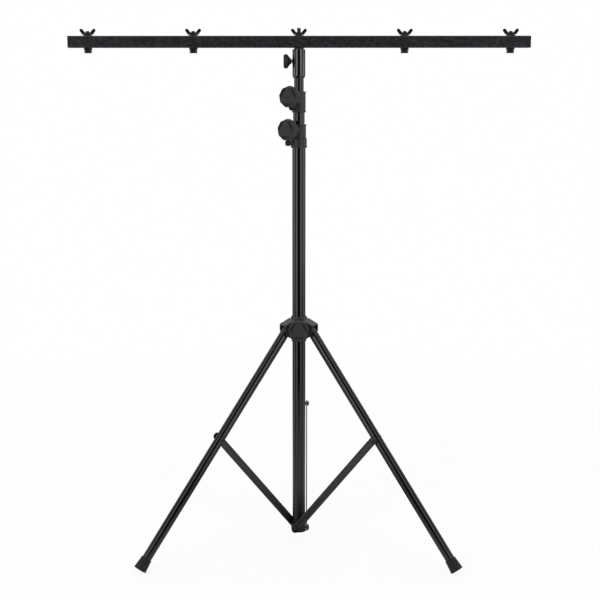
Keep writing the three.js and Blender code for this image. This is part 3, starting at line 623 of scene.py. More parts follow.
# Finishes by material slot, and after them those of single kinds of piece
FINISHES = {
    "tube_black": coating(
        "gloss_black_tube", (0.0025, 0.0025, 0.0026), (0.0035, 0.0035, 0.0037), 0.06, 0.02, 700, 0.0012,
        coarse_share=0.8,
    ),
    "bar_black": coating(
        "satin_black_bar", (0.0088, 0.0085, 0.011), (0.0094, 0.0091, 0.0117), 0.34, 0.01, 1600, 0.006,
        coarse_share=0.2, specular=0.4, dust=0.02,
    ),
    "black_steel": coating(
        "black_steel", (0.006, 0.006, 0.0062), (0.01, 0.01, 0.0103), 0.3, 0.07, 900, 0.012,
        wear=0.3, specular=0.4,
    ),
    "dark_zinc": coating(
        "dark_zinc", (0.16, 0.16, 0.165), (0.24, 0.24, 0.245), 0.33, 0.08, 800, 0.01, metallic=0.9, wear=0.2
    ),
    "grey_plastic": coating(
        "moulded_grey_plastic", (0.019, 0.0185, 0.0215), (0.025, 0.0244, 0.028), 0.38, 0.06, 1700, 0.035,
        specular=0.3,
    ),
    "black_plastic": coating(
        "moulded_black_plastic", (0.008, 0.008, 0.0083), (0.013, 0.013, 0.0135), 0.45, 0.07, 1700, 0.03,
        specular=0.35,
    ),
    "nylon": coating("dark_nylon", (0.05, 0.05, 0.05), (0.07, 0.07, 0.07), 0.45, 0.05, 1200, 0.01),
    "rubber": coating(
        "black_rubber", (0.004, 0.004, 0.004), (0.007, 0.007, 0.007), 0.6, 0.08, 1300, 0.04,
        wear=0.05, dust=0.03, specular=0.3,
    ),
    "strut": coating(
        "powder_black_strut", (0.008, 0.008, 0.0082), (0.013, 0.013, 0.0133), 0.4, 0.08, 1500, 0.04
    ),
    "bar_sleeve": coating(
        "gloss_black_sleeve", (0.003, 0.003, 0.0031), (0.004, 0.004, 0.0042), 0.08, 0.02, 700, 0.0015,
        specular=0.8,
    ),
}
HEAD_BLACK = coating(
    "dull_black_head", (0.003, 0.003, 0.0031), (0.006, 0.006, 0.0062), 0.42, 0.08, 900, 0.02,
    wear=0.2, specular=0.25,
)
KNOB_GREY = coating(
    "moulded_grey_knob", (0.031, 0.0302, 0.0335), (0.036, 0.035, 0.039), 0.42, 0.06, 1700, 0.035,
    specular=0.08,
)
for kind in ("hub_pivot_bolt", "lower_index_pin", "upper_index_pin", "wing_nut", "fixture_bolt"):
    FINISHES[kind] = HEAD_BLACK
for kind in ("crown_knob", "lower_collar_knob", "upper_collar_knob"):
    FINISHES[kind] = KNOB_GREY
SLOT_OF_NODE = {entry["node"]: entry["material_slot"] for entry in frame["record"]["subparts"]}


# Places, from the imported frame
def extent(node):
    low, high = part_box(node)
    return low / MM, high / MM


def middle_height(node):
    low, high = extent(node)
    return (low.z + high.z) / 2


def half_width(node):
    low, high = extent(node)
    return (high.x - low.x) / 2


joints = {joint["name"]: joint for joint in frame["joints"]}
outer_low, outer_high = extent("outer_tube")
mast_x = (outer_low.x + outer_high.x) / 2
mast_y = (outer_low.y + outer_high.y) / 2
OUTER_RADIUS = half_width("outer_tube")
MID_RADIUS = half_width("mid_tube")
INNER_RADIUS = half_width("inner_tube")
CROWN_RADIUS = OUTER_RADIUS + RUNNING_GAP + CROWN_WALL
LOWER_NECK_RADIUS = MID_RADIUS + RUNNING_GAP + LOWER_NECK_WALL
UPPER_NECK_RADIUS = MID_RADIUS + SEAT_GAP + UPPER_SKIRT_WALL
LEG_NUMBERS = (1, 2, 3)


def on_mast(height=0.0, turn=0.0):
    return Matrix.Translation((mast_x, mast_y, height)) @ Matrix.Rotation(turn, 4, "Z")


def joint_point(name):
    return Vector(joints[name]["pos_m"]) / MM


def outward_turn(name):
    """The direction round the mast in which a joint's axis points."""
    axis = joints[name]["axis"]
    return math.atan2(axis[1], axis[0])


def on_joint(name):
    """On the mast's axis at a joint's height, with +X along the joint's axis."""
    return on_mast(joint_point(name).z, outward_turn(name))


def leg_turn(number):
    axis = joints[f"leg_hinge_{number}"]["axis"]
    return math.atan2(-axis[0], axis[1])


def hinged(name, number, tilt=0.0):
    """At a hinge of one side of the tripod, turned to its leg and then tilted about Y."""
    place = Matrix.Translation(joint_point(f"{name}_{number}")) @ Matrix.Rotation(leg_turn(number), 4, "Z")
    return place @ Matrix.Rotation(tilt, 4, "Y")


pivot_point = joint_point("leg_hinge_1")
PIVOT_RADIUS = math.hypot(pivot_point.x - mast_x, pivot_point.y - mast_y)
PIVOT_HEIGHT = pivot_point.z
HUB_PIVOT_HEIGHT = joint_point("strut_hinge_1").z
STRUT_TILT = math.asin((PIVOT_RADIUS + UPPER_LEG_LENGTH * math.sin(LEG_SPREAD)) / STRUT_LENGTH)


# Dressing a node with its finished piece
def finished(mesh):
    """Turns a solid in millimetres into a smooth-shaded mesh in metres."""
    mesh.transform(Matrix.Scale(MM, 4))
    mesh.shade_smooth()
    mesh.set_sharp_from_angle(angle=SHARP_ANGLE)
    return mesh


def dress(node, mesh, place):
    """Shows a finished mesh in place of a CAD node, riding on the node's own body."""
    piece = add_object(f"{node}_visual", mesh)
    in_metres = place.copy()
    in_metres.translation = place.translation * MM
    piece.matrix_world = in_metres
    slot = SLOT_OF_NODE[node]
    if not mesh.materials:
        mesh.materials.append(FINISHES.get(node.rstrip("_12345"), FINISHES[slot]))
    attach(piece, frame["nodes"][node]["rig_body"])
    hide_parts(node)


def finish_node(node):
    """Gives a CAD node that stays the finish of its slot."""
    target = frame["nodes"][node]
    target.data.materials.clear()
    target.data.materials.append(FINISHES[SLOT_OF_NODE[node]])


# Mast tubes
def tube(radius, wall, bottom, top):
    inside = radius - wall
    corners = [(inside, bottom), (radius, bottom), (radius, top), (inside, top)]
    return lathe(rounded([(*corner, TUBE_EDGE_ROUND) for corner in corners]))


def facing(solid, turn, height):
    """Lays a solid built along +Z outward from the mast, at a turn and a height."""
    return shifted(turned(laid_outward(solid), turn), 0, 0, height)


def radial_hole(radius, reach, turn, height):
    return facing(rod(radius, 0, reach), turn, height)


def hub_bolt_hole(number, reach):
    return radial_hole(PIVOT_BOLT_RADIUS + SEAT_GAP, reach, leg_turn(number) - 90 * DEG, HUB_PIVOT_HEIGHT)


def dress_mast_tubes():
    reach = 2 * OUTER_RADIUS
    cuts = {"outer": [], "mid": [], "inner": []}
    for prefix, carrier, slider in (("lower", "outer", "mid"), ("upper", "mid", "inner")):
        turn = outward_turn(f"{prefix}_pin_pull")
        height = middle_height(f"{prefix}_index_pin")
        cuts[carrier].append(radial_hole(PIN_STEM_RADIUS + RUNNING_GAP, reach, turn, height))
        cuts[slider].append(radial_hole(INDEX_HOLE_RADIUS, reach, turn, height - STAGE_TRAVEL))
    cuts["outer"] += [hub_bolt_hole(number, reach) for number in LEG_NUMBERS]
    walls = {"outer": OUTER_TUBE_WALL, "mid": MID_TUBE_WALL, "inner": INNER_TUBE_WALL}
    for stage, wall in walls.items():
        node = f"{stage}_tube"
        low, high = extent(node)
        stage_tube = tube(half_width(node), wall, low.z, high.z)
        dress(node, finished(cut(stage_tube, *cuts[stage])), on_mast())


# Hub
def dress_hub():
    low, high = extent("tripod_hub")
    bore = OUTER_RADIUS + SEAT_GAP
    reach = max(half_width("tripod_hub"), HUB_FLAT + HUB_CHAMFER)
    body = lathe(rounded([
        (0, low.z), (reach - HUB_CHAMFER, low.z, BROAD_ROUND), (reach, low.z + HUB_CHAMFER, BROAD_ROUND),
        (reach, high.z - HUB_CHAMFER, FULL_ROUND), (bore + 2 * SEAT_GAP, high.z, HAIR_ROUND),
        (bore, high.z), (bore, low.z + HUB_FLOOR), (0, low.z + HUB_FLOOR),
    ]))
    outline = [(HUB_FLAT, -reach), (2 * reach, -reach), (2 * reach, reach), (HUB_FLAT, reach)]
    cuts = []
    for number in LEG_NUMBERS:
        flat = prism(outline, low.z - OVERRUN, high.z + OVERRUN)
        cuts += [turned(flat, leg_turn(number) - 90 * DEG), hub_bolt_hole(number, reach)]
    dress("tripod_hub", finished(moulded(cut(body, *cuts))), on_mast())


# Bolts with domed heads
def domed_head(radius, height, seat, turn=0.0):
    """A dome on a short rim, standing at a height along Z or, turned over, below it."""
    profile = [(0, 0), (radius - HAIR_ROUND, 0), (radius, HAIR_ROUND), (radius, HEAD_RIM_HEIGHT)]
    for step in range(1, DOME_STEPS):
        across, up = polar(1, 90 * DEG * step / DOME_STEPS)
        profile.append((radius * across, HEAD_RIM_HEIGHT + (height - HEAD_RIM_HEIGHT) * up))
    profile.append((0, height))
    return turned(shifted(lathe(profile, SMALL_STEPS), 0, 0, seat), turn, "X")


def hub_pivot_bolt():
    seat = HUB_FLAT + SEAT_GAP + STRUT_THICKNESS + SEAT_GAP
    tip = OUTER_RADIUS - OUTER_TUBE_WALL - HUB_BOLT_REACH
    shank = rod(PIVOT_BOLT_RADIUS, tip, seat + HUB_HEAD[1] / 2)
    return laid_aside(joined(shank, domed_head(*HUB_HEAD, seat)))


def leg_pivot_bolt():
    seat = LEG_RADIUS + SLIDE_GAP + CHEEK_WALL + SEAT_GAP
    reach = seat + LEG_BOLT_HEAD[1] / 2
    heads = [domed_head(*LEG_BOLT_HEAD, seat, turn) for turn in (0, math.pi)]
    return laid_aside(joined(rod(PIVOT_BOLT_RADIUS, -reach, reach), *heads))


def strut_bolt():
    seat = LEG_RADIUS + SEAT_GAP
    shank = rod(PIVOT_BOLT_RADIUS, -seat - DOME_HEAD[1] / 2, HUB_FLAT)
    return laid_aside(joined(shank, domed_head(*DOME_HEAD, seat, math.pi)))


def strut_nut():
    seat = STRUT_THICKNESS / 2 + SEAT_GAP
    stub = rod(PIVOT_BOLT_RADIUS, -STRUT_THICKNESS / 2, seat + DOME_HEAD[1] / 2)
    return laid_aside(joined(stub, domed_head(*DOME_HEAD, seat)))


def strut_spacer():
    near = LEG_RADIUS + SEAT_GAP
    bore = PIVOT_BOLT_RADIUS + SEAT_GAP
    outer = [(SPACER_RADIUS, height, EDGE_ROUND) for height in (near, HUB_FLAT)]
    return laid_aside(lathe(rounded([(bore, near), *outer, (bore, HUB_FLAT)]), SMALL_STEPS))


# Legs and struts
def pivot_holes(heights, reach):
    """Running holes for the pivot bolts across a leg or a strut."""
    radius = PIVOT_BOLT_RADIUS + RUNNING_GAP
    return [shifted(laid_aside(rod(radius, -reach, reach)), 0, 0, height) for height in heights]


def strut():
    half = STRUT_WIDTH / 2
    plate = slab(half_round(half, STRUT_LENGTH) + half_round(half, 0, math.pi), STRUT_THICKNESS)
    return edged(cut(plate, *pivot_holes((0, STRUT_LENGTH), STRUT_WIDTH)), STRUT_EDGE_ROUND)


def leg_tube():
    foot = -(UPPER_LEG_LENGTH + LOWER_LEG_LENGTH - FOOT_FLOOR - SEAT_GAP)
    leg = tube(LEG_RADIUS, LEG_WALL, foot, LEG_END_BEYOND_PIVOT)
    return cut(leg, *pivot_holes((0, -UPPER_LEG_LENGTH), 2 * LEG_RADIUS))


def rubber_foot():
    """A foot on the leg's end, its sole cut level with the floor."""
    bore = LEG_RADIUS + SEAT_GAP
    lip = bore + FOOT_TOP_WALL
    flange = lip + FOOT_GROOVE
    sole = -(UPPER_LEG_LENGTH + LOWER_LEG_LENGTH)
    top = sole + FOOT_LENGTH
    neck = top - FOOT_LIP_HEIGHT
    rim = sole + FOOT_RIM_HEIGHT
    corners = [
        (0, sole), (FOOT_END_RADIUS, sole, BROAD_ROUND), (FOOT_END_RADIUS, rim, SLIGHT_ROUND),
        (FOOT_END_RADIUS - FOOT_GROOVE, rim + FOOT_GROOVE, FINE_ROUND), (lip, neck, EDGE_ROUND),
        (flange, neck + FOOT_GROOVE, FINE_ROUND), (flange, top - FOOT_GROOVE, EASED_ROUND),
        (bore, top, SLIGHT_ROUND), (bore, sole + FOOT_FLOOR), (0, sole + FOOT_FLOOR),
    ]
    builder = bmesh.new()
    builder.from_mesh(lathe(rounded(corners)))
    to_leg = hinged("leg_hinge", 1, -LEG_SPREAD).inverted()
    everything = builder.verts[:] + builder.edges[:] + builder.faces[:]
    down = to_leg.to_3x3() @ Vector((0, 0, -1))
    sliced = bmesh.ops.bisect_plane(
        builder, geom=everything, plane_co=to_leg.translation, plane_no=down, clear_outer=True
    )
    rim_edges = [item for item in sliced["geom_cut"] if isinstance(item, bmesh.types.BMEdge)]
    bmesh.ops.contextual_create(builder, geom=rim_edges)
    return mesh_of(builder)


def dress_tripod():
    shared = {}
    for number in LEG_NUMBERS:
        leg = hinged("leg_hinge", number, -LEG_SPREAD)
        knee = leg @ Matrix.Translation((0, 0, -UPPER_LEG_LENGTH))
        brace = hinged("strut_hinge", number, STRUT_TILT)
        places = {
            leg_pivot_bolt: hinged("leg_hinge", number),
            leg_tube: leg, rubber_foot: leg,
            strut_bolt: knee, strut_spacer: knee,
            hub_pivot_bolt: on_mast(HUB_PIVOT_HEIGHT, leg_turn(number)),
            strut: brace, strut_nut: brace @ Matrix.Translation((0, 0, STRUT_LENGTH)),
        }
        for maker, place in places.items():
            if maker not in shared:
                shared[maker] = finished(maker())
            dress(f"{maker.__name__}_{number}", shared[maker], place)


# Crown
def crown_arm():
    inside = CROWN_RADIUS - CROWN_WALL / 2
    ring = CROWN_RADIUS - CROWN_WALL + CROWN_RING_WALL
    end = PIVOT_RADIUS + ARM_BEYOND_PIVOT
    roof_end = end - ARM_CORNER_DROP
    slope = (ARM_ROOF_INSIDE - ARM_ROOF_OUTSIDE) / (roof_end - inside)
    roof_at_ring = ARM_ROOF_INSIDE - slope * (ring - inside)
    outline = rounded([
        (0, -ARM_BOTTOM_BELOW_PIVOT),
        (PIVOT_RADIUS - LEG_RADIUS / 2, -ARM_BOTTOM_BELOW_PIVOT, ARM_CORNER_ROUND),
        (PIVOT_RADIUS + ARM_TOE_BEYOND_PIVOT, -ARM_TOE_BELOW_PIVOT, ARM_CORNER_ROUND),
        (end, -ARM_END_BELOW_PIVOT, ARM_CORNER_ROUND),
        (end, ARM_ROOF_OUTSIDE - ARM_CORNER_DROP, EASED_ROUND), (roof_end, ARM_ROOF_OUTSIDE, EASED_ROUND),
        (ring, roof_at_ring), (0, roof_at_ring),
    ])
    near = CROWN_RADIUS + SEAT_GAP
    far = end + OVERRUN
    foot = -ARM_BOTTOM_BELOW_PIVOT - OVERRUN
    ceiling = ARM_ROOF_INSIDE - ARM_ROOF_THICKNESS
    slot = [
        (near, foot), (far, foot), (far, ceiling - slope * (far - inside)),
        (near, ceiling - slope * (near - inside)),
    ]
    slot_width = 2 * (LEG_RADIUS + SLIDE_GAP)
    width = slot_width + 2 * CHEEK_WALL
    hole = laid_aside(rod(PIVOT_BOLT_RADIUS + SEAT_GAP, -width, width))
    return cut(slab(outline, width), slab(slot, slot_width), shifted(hole, PIVOT_RADIUS, 0, 0))


def clamp_boss(inside, sleeve):
    end = sleeve + BOSS_BEYOND_SLEEVE
    corners = [
        (0, inside), (BOSS_RADIUS, inside), (BOSS_RADIUS, end - BOSS_LIP, EDGE_ROUND),
        (BOSS_RADIUS - BOSS_LIP, end, EDGE_ROUND), (0, end),
    ]
    return lathe(rounded(corners))


def clamp_bores(tube_radius, reach, turn, height):
    """The shoe's pocket and the stud's hole beyond it."""
    pocket_end = tube_radius + SHOE_THICKNESS + 2 * SEAT_GAP
    bores = (rod(SHOE_RADIUS + SEAT_GAP, 0, pocket_end), rod(STUD_RADIUS + RUNNING_GAP, tube_radius, reach))
    return [facing(bore, turn, height) for bore in bores]


def crown():
    bore = OUTER_RADIUS + RUNNING_GAP
    sleeve = CROWN_RADIUS
    top = CROWN_TOP_ABOVE_PIVOT
    ring = bore + CROWN_RING_WALL
    body = lathe([
        (0, -CROWN_BELOW_PIVOT), (bore + CROWN_FOOT_WALL, -CROWN_BELOW_PIVOT),
        (sleeve, -ARM_BOTTOM_BELOW_PIVOT), (sleeve, top - CROWN_RING_HEIGHT),
        (ring, top - CROWN_RING_HEIGHT), (ring, top - CROWN_RING_CHAMFER),
        (ring - CROWN_RING_CHAMFER, top), (0, top),
    ])
    arms = [turned(crown_arm(), leg_turn(number)) for number in LEG_NUMBERS]
    front = outward_turn("crown_knob_turn")
    knob_height = joint_point("crown_knob_turn").z - PIVOT_HEIGHT
    boss = facing(clamp_boss(bore + CROWN_WALL / 2, sleeve), front, knob_height)
    main_bore = rod(bore, -CROWN_BELOW_PIVOT - OVERRUN, top + OVERRUN, ROUND_STEPS)
    clamp = clamp_bores(OUTER_RADIUS, 3 * sleeve, front, knob_height)
    return moulded(cut(joined(body, *arms, boss), main_bore, *clamp), CROWN_VOXEL, CROWN_KEPT_SHARE)


# Knobs
def clamp_knob():
    """Ridged knob with a raised three-cornered face, its hollow back at z = 0."""
    rim_inside = KNOB_RADIUS - KNOB_LOBE_DEPTH - KNOB_RIM_WALL
    face = KNOB_RADIUS - KNOB_FACE_DROP
    bore = STUD_RADIUS + SEAT_GAP
    body = lathe([
        (0, KNOB_STUD_DEPTH), (bore, KNOB_STUD_DEPTH), (bore, 0), (KNOB_HUB_RADIUS, 0),
        (KNOB_HUB_RADIUS, KNOB_BACK_RECESS), (rim_inside, KNOB_BACK_RECESS), (rim_inside, KNOB_SHOULDER),
        (KNOB_RADIUS - KNOB_SHOULDER, KNOB_SHOULDER, KNOB_LOBE_DEPTH),
        (KNOB_RADIUS, 2 * KNOB_SHOULDER, KNOB_LOBE_DEPTH),
        (KNOB_RADIUS, KNOB_HEIGHT - KNOB_FACE_DROP, KNOB_LOBE_DEPTH),
        ((KNOB_RADIUS + face) / 2, KNOB_HEIGHT - KNOB_FACE_DROP / 4, KNOB_LOBE_DEPTH / 2),
        (face, KNOB_HEIGHT), (0, KNOB_HEIGHT),
    ], 2 * ROUND_STEPS)
    floor = KNOB_HEIGHT - FINGER_RECESS_DEPTH
    top = KNOB_HEIGHT + OVERRUN
    well = rod(FINGER_RECESS_RADIUS, floor, top, ROUND_STEPS)
    island = prism(trefoil_outline(TREFOIL_RADIUS, TREFOIL_SWING), floor - OVERRUN, top + OVERRUN)
    near = KNOB_HUB_RADIUS - KNOB_RIB_OVERLAP
    far = rim_inside + KNOB_RIB_OVERLAP
    half = KNOB_RIB_THICKNESS / 2
    outline = [(near, -half), (far, -half), (far, half), (near, half)]
    ribs = []
    for index in range(3):
        rib = prism(outline, KNOB_SHOULDER + KNOB_RIB_OVERLAP, KNOB_BACK_RECESS + KNOB_RIB_OVERLAP)
        ribs.append(turned(rib, index * 120 * DEG))
    return moulded(joined(cut(body, cut(well, island)), *ribs), KNOB_VOXEL)


def sleeve_knob():
    foot = SLEEVE_KNOB_HUB_LENGTH
    top = foot + SLEEVE_KNOB_HEIGHT
    edge = SLEEVE_KNOB_HEIGHT / 4
    depth = KNOB_LOBE_DEPTH * SLEEVE_KNOB_RADIUS / KNOB_RADIUS
    bore = SLEEVE_STUD_RADIUS + SEAT_GAP
    knob = lathe([
        (0, foot + edge), (bore, foot + edge), (bore, 0), (SLEEVE_KNOB_HUB_RADIUS, 0),
        (SLEEVE_KNOB_HUB_RADIUS + SLEEVE_KNOB_HUB_FLARE, foot / 3),
        (SLEEVE_KNOB_RADIUS - edge, foot, depth / 2), (SLEEVE_KNOB_RADIUS, foot + edge, depth),
        (SLEEVE_KNOB_RADIUS, foot + 2 * edge, depth),
        (SLEEVE_KNOB_RADIUS - edge / 2, top - edge / 2, depth), (SLEEVE_KNOB_FACE_RADIUS, top, depth / 2),
        (0, top),
    ], 2 * ROUND_STEPS)
    return moulded(knob, SMALL_VOXEL)


def dress_knob(name, knob, back, radius, pitch, start, end):
    """A knob with its hub at a distance from the mast's axis, and its stud from start to end."""
    line = on_joint(f"{name}_turn")
    dress(name, knob, line @ Matrix.Translation((back, 0, 0)) @ Matrix.Rotation(90 * DEG, 4, "Y"))
    dress(f"{name}_stud", finished(laid_outward(thread(radius, pitch, start, end))), line)


def dress_clamps():
    knob = finished(turned(clamp_knob(), math.pi))
    starts = (CROWN_RADIUS, LOWER_NECK_RADIUS, UPPER_NECK_RADIUS)
    for prefix, start in zip(("crown", "lower_collar", "upper_collar"), starts):
        back = start + BOSS_BEYOND_SLEEVE + KNOB_STAND_OFF
        end = back + KNOB_STUD_DEPTH - SEAT_GAP
        dress_knob(f"{prefix}_knob", knob, back, STUD_RADIUS, STUD_PITCH, start, end)
        finish_node(f"{prefix}_clamp_shoe")
    start = INNER_RADIUS + SEAT_GAP
    back = INNER_RADIUS + RUNNING_GAP + SLEEVE_WALL + SLEEVE_BOSS_HEIGHT + SLEEVE_KNOB_STAND_OFF
    end = back + SLEEVE_KNOB_HUB_LENGTH
    knob = finished(sleeve_knob())
    dress_knob("sleeve_knob", knob, back, SLEEVE_STUD_RADIUS, SLEEVE_STUD_PITCH, start, end)


# Collars
def dress_collar(prefix, tube_radius, next_radius, skirt_wall, neck, skirt_height, flanges, pin_seat):
    """A collar from the tube that it sits on to the tube that it clamps, with its index pin."""
    low, high = extent(f"{prefix}_collar")
    height = high.z - low.z
    skirt_bore = tube_radius + SEAT_GAP
    neck_bore = next_radius + RUNNING_GAP
    skirt = skirt_bore + skirt_wall
    step = skirt_height - SHOULDER_HEIGHT
    foot_flange, top_flange = flanges
    body = lathe([
        (0, 0), (skirt + foot_flange, 0), (skirt + foot_flange, FLANGE_HEIGHT - foot_flange),
        (skirt, FLANGE_HEIGHT), (skirt, step), (neck, skirt_height), (neck, height - FLANGE_HEIGHT),
        (neck + top_flange, height - FLANGE_HEIGHT + top_flange), (neck + top_flange, height),
        (0, height),
    ])
    pin_middle = middle_height(f"{prefix}_index_pin")
    pin = outward_turn(f"{prefix}_pin_pull"), pin_middle - low.z
    knob_joint = f"{prefix}_collar_knob_turn"
    knob = outward_turn(knob_joint), joint_point(knob_joint).z - low.z
    boss = facing(clamp_boss(neck_bore, neck), *knob)
    seat = facing(rod(PIN_SEAT_RADIUS, skirt_bore, skirt + pin_seat), *pin)
    reach = 2 * (neck + BOSS_BEYOND_SLEEVE)
    cuts = [
        rod(skirt_bore, -OVERRUN, step, ROUND_STEPS),
        rod(neck_bore, 0, height + OVERRUN, ROUND_STEPS),
        *clamp_bores(next_radius, reach, *knob),
        radial_hole(PIN_STEM_RADIUS + RUNNING_GAP, reach, *pin),
    ]
    dress(f"{prefix}_collar", finished(moulded(cut(joined(body, boss, seat), *cuts))), on_mast(low.z))
    stem = index_pin(next_radius + SEAT_GAP, skirt + pin_seat)
    dress(f"{prefix}_index_pin", finished(stem), on_mast(pin_middle, pin[0]))


def index_pin(tip, seat):
    cap = seat + RUNNING_GAP
    end = cap + PIN_CAP_LENGTH
    corners = [
        (0, tip), (PIN_STEM_RADIUS, tip, SOFT_ROUND), (PIN_STEM_RADIUS, cap),
        (PIN_CAP_RADIUS, cap, PIN_CAP_ROUND / 2), (PIN_CAP_RADIUS, end, PIN_CAP_ROUND),
        (PIN_DIMPLE_RADIUS, end, EDGE_ROUND), (PIN_DIMPLE_RADIUS / 2, end - PIN_DIMPLE_DEPTH, SOFT_ROUND),
        (0, end - PIN_DIMPLE_DEPTH),
    ]
    return laid_outward(lathe(rounded(corners), SMALL_STEPS))


def dress_collars():
    dress_collar(
        "lower", OUTER_RADIUS, MID_RADIUS, LOWER_SKIRT_WALL, LOWER_NECK_RADIUS,
        LOWER_SKIRT_HEIGHT, (LOWER_FOOT_FLANGE, LOWER_TOP_FLANGE), LOWER_PIN_SEAT_LENGTH,
    )
    dress_collar(
        "upper", MID_RADIUS, INNER_RADIUS, UPPER_SKIRT_WALL, UPPER_NECK_RADIUS,
        UPPER_SKIRT_HEIGHT, (UPPER_FLANGE, UPPER_FLANGE), UPPER_PIN_SEAT_LENGTH,
    )


# Bar head
def dress_sleeve():
    low, high = extent("bar_sleeve")
    bore = INNER_RADIUS + RUNNING_GAP
    reach = bore + SLEEVE_WALL
    sleeve = lathe(rounded([
        (bore, low.z, FINE_ROUND), (reach - SLEEVE_FOOT_CHAMFER, low.z, EDGE_ROUND),
        (reach, low.z + SLEEVE_FOOT_CHAMFER_HEIGHT, LARGE_ROUND), (reach, high.z, SOFT_ROUND),
        (bore, high.z, FINE_ROUND),
    ]))
    knob = outward_turn("sleeve_knob_turn"), joint_point("sleeve_knob_turn").z
    boss = facing(rod(SLEEVE_BOSS_RADIUS, bore + SLEEVE_WALL / 2, reach + SLEEVE_BOSS_HEIGHT), *knob)
    hole = radial_hole(SLEEVE_STUD_RADIUS + RUNNING_GAP, 2 * reach, *knob)
    dress("bar_sleeve", finished(cut(joined(sleeve, boss), hole)), on_mast())


def dress_bar_stud():
    low, high = extent("bar_stud")
    bar_low, bar_high = extent("t_bar")
    shoulder = bar_low.z - SEAT_GAP
    body = lathe(rounded([
        (0, low.z), (INNER_RADIUS, low.z, BROAD_ROUND), (INNER_RADIUS, shoulder, EDGE_ROUND),
        (BOLT_RADIUS, shoulder), (BOLT_RADIUS, bar_high.z), (0, bar_high.z),
    ]))
    threads = thread(BOLT_RADIUS, BOLT_PITCH, bar_high.z - THREAD_IN_SHANK_SHARE * BOLT_PITCH, high.z)
    dress("bar_stud", finished(joined(body, threads)), on_mast())


def drawn_along_bar(side, corner, start, end):
    """A square with rounded corners, drawn along X."""
    return turned(turned(prism(square_outline(side, corner), start, end), 90 * DEG, "Z"), 90 * DEG, "Y")


def dress_cross_bar():
    low, high = extent("t_bar")
    side = high.z - low.z
    half = half_width("t_bar")
    middle = middle_height("t_bar")
    inner_side = side - 2 * BAR_WALL
    inner_corner = BAR_CORNER_RADIUS - BAR_WALL
    bar = drawn_along_bar(side, BAR_CORNER_RADIUS, -half, half)
    cuts = [drawn_along_bar(inner_side, inner_corner, -half - OVERRUN, half + OVERRUN)]
    for number in NUT_NUMBERS:
        place = joint_point(f"wing_nut_turn_{number}").x
        cuts.append(shifted(rod(BOLT_RADIUS + SEAT_GAP, -side, side), place, 0, 0))
    dress("t_bar", finished(cut(bar, *cuts)), on_mast(middle))
    cap_low, cap_high = extent("end_cap_right")
    seat = cap_high.x - END_CAP_THICKNESS
    face = drawn_along_bar(side, BAR_CORNER_RADIUS, seat, cap_high.x)
    plug_side = inner_side - 2 * SEAT_GAP
    plug = drawn_along_bar(plug_side, inner_corner, cap_low.x, cap_high.x - END_CAP_THICKNESS / 2)
    well_side = plug_side - 2 * END_CAP_PLUG_WALL
    well = drawn_along_bar(well_side, inner_corner / 2, cap_low.x - OVERRUN, seat)
    cap = finished(cut(joined(edged(face, END_CAP_ROUND, 3), plug), well))
    dress("end_cap_right", cap, on_mast(middle))
    dress("end_cap_left", cap, on_mast(middle, math.pi))


def hexagon(across, bottom, top, top_chamfer):
    """A hexagon measured across its corners, chamfered below and, by top_chamfer, above."""
    reach = across / 2
    cone = lathe([
        (0, bottom), (reach - HEX_CHAMFER, bottom), (reach + SEAT_GAP, bottom + HEX_CHAMFER / 2),
        (reach + SEAT_GAP, top - top_chamfer / 2), (reach - top_chamfer, top), (0, top),
    ], SMALL_STEPS)
    return combined(rod(reach, bottom, top, HEX_SIDES), [cone], "INTERSECT")


def fixture_bolt(half_bar):
    """Bolt through the bar, heights counted from the bar's middle."""
    nut_top = -half_bar - SEAT_GAP
    nut_foot = nut_top - NUT_UNDER_BAR_HEIGHT
    head_top = nut_foot - HEAD_NECK_HEIGHT
    tip = half_bar + BOLT_ABOVE_BAR
    thread_from = half_bar + THREAD_ABOVE_BAR
    shank = rod(BOLT_RADIUS, head_top - HEAD_HEIGHT / 2, thread_from + THREAD_IN_SHANK_SHARE * BOLT_PITCH)
    neck = rod(HEAD_NECK_RADIUS, head_top - HEAD_HEIGHT / 2, nut_foot + NUT_UNDER_BAR_HEIGHT / 2)
    off_the_corners = 90 * DEG / SMALL_STEPS
    nut = hexagon(NUT_UNDER_BAR_ACROSS, nut_foot, nut_top, HEX_CHAMFER)
    head = hexagon(HEAD_ACROSS, head_top - HEAD_HEIGHT, head_top, 0)
    solids = (neck, nut, head, thread(BOLT_RADIUS, BOLT_PITCH, thread_from, tip))
    return joined(turned(shank, off_the_corners), *solids)


def wing_nut():
    """Cast wing nut standing on z = 0."""
    hub = lathe([
        (0, 0), (NUT_FLANGE_RADIUS, 0), (NUT_FLANGE_RADIUS, NUT_FLANGE_HEIGHT),
        (NUT_FOOT_RADIUS, NUT_FLANGE_HEIGHT), (NUT_TOP_RADIUS, NUT_HUB_HEIGHT), (0, NUT_HUB_HEIGHT),
    ], SMALL_STEPS)
    half = WING_WIDTH / 2
    tip_x = WING_SPAN / 2 - half
    tip_z = WING_RISE - half
    length = (tip_z - NUT_HUB_HEIGHT / 2) / math.cos(WING_TILT)
    root = tip_x - length * math.sin(WING_TILT)
    outline = half_round(half, length, steps=WING_STEPS) + [(-half, 0), (half, 0)]
    wings = []
    for turn in (0, math.pi):
        wing = turned(slab(outline, WING_THICKNESS), WING_TILT, "Y")
        wings.append(turned(shifted(wing, root, 0, NUT_HUB_HEIGHT / 2), turn))
    bore = rod(BOLT_RADIUS + RUNNING_GAP, -OVERRUN, WING_RISE)
    return moulded(cut(joined(hub, *wings), bore), SMALL_VOXEL, WING_KEPT_SHARE)


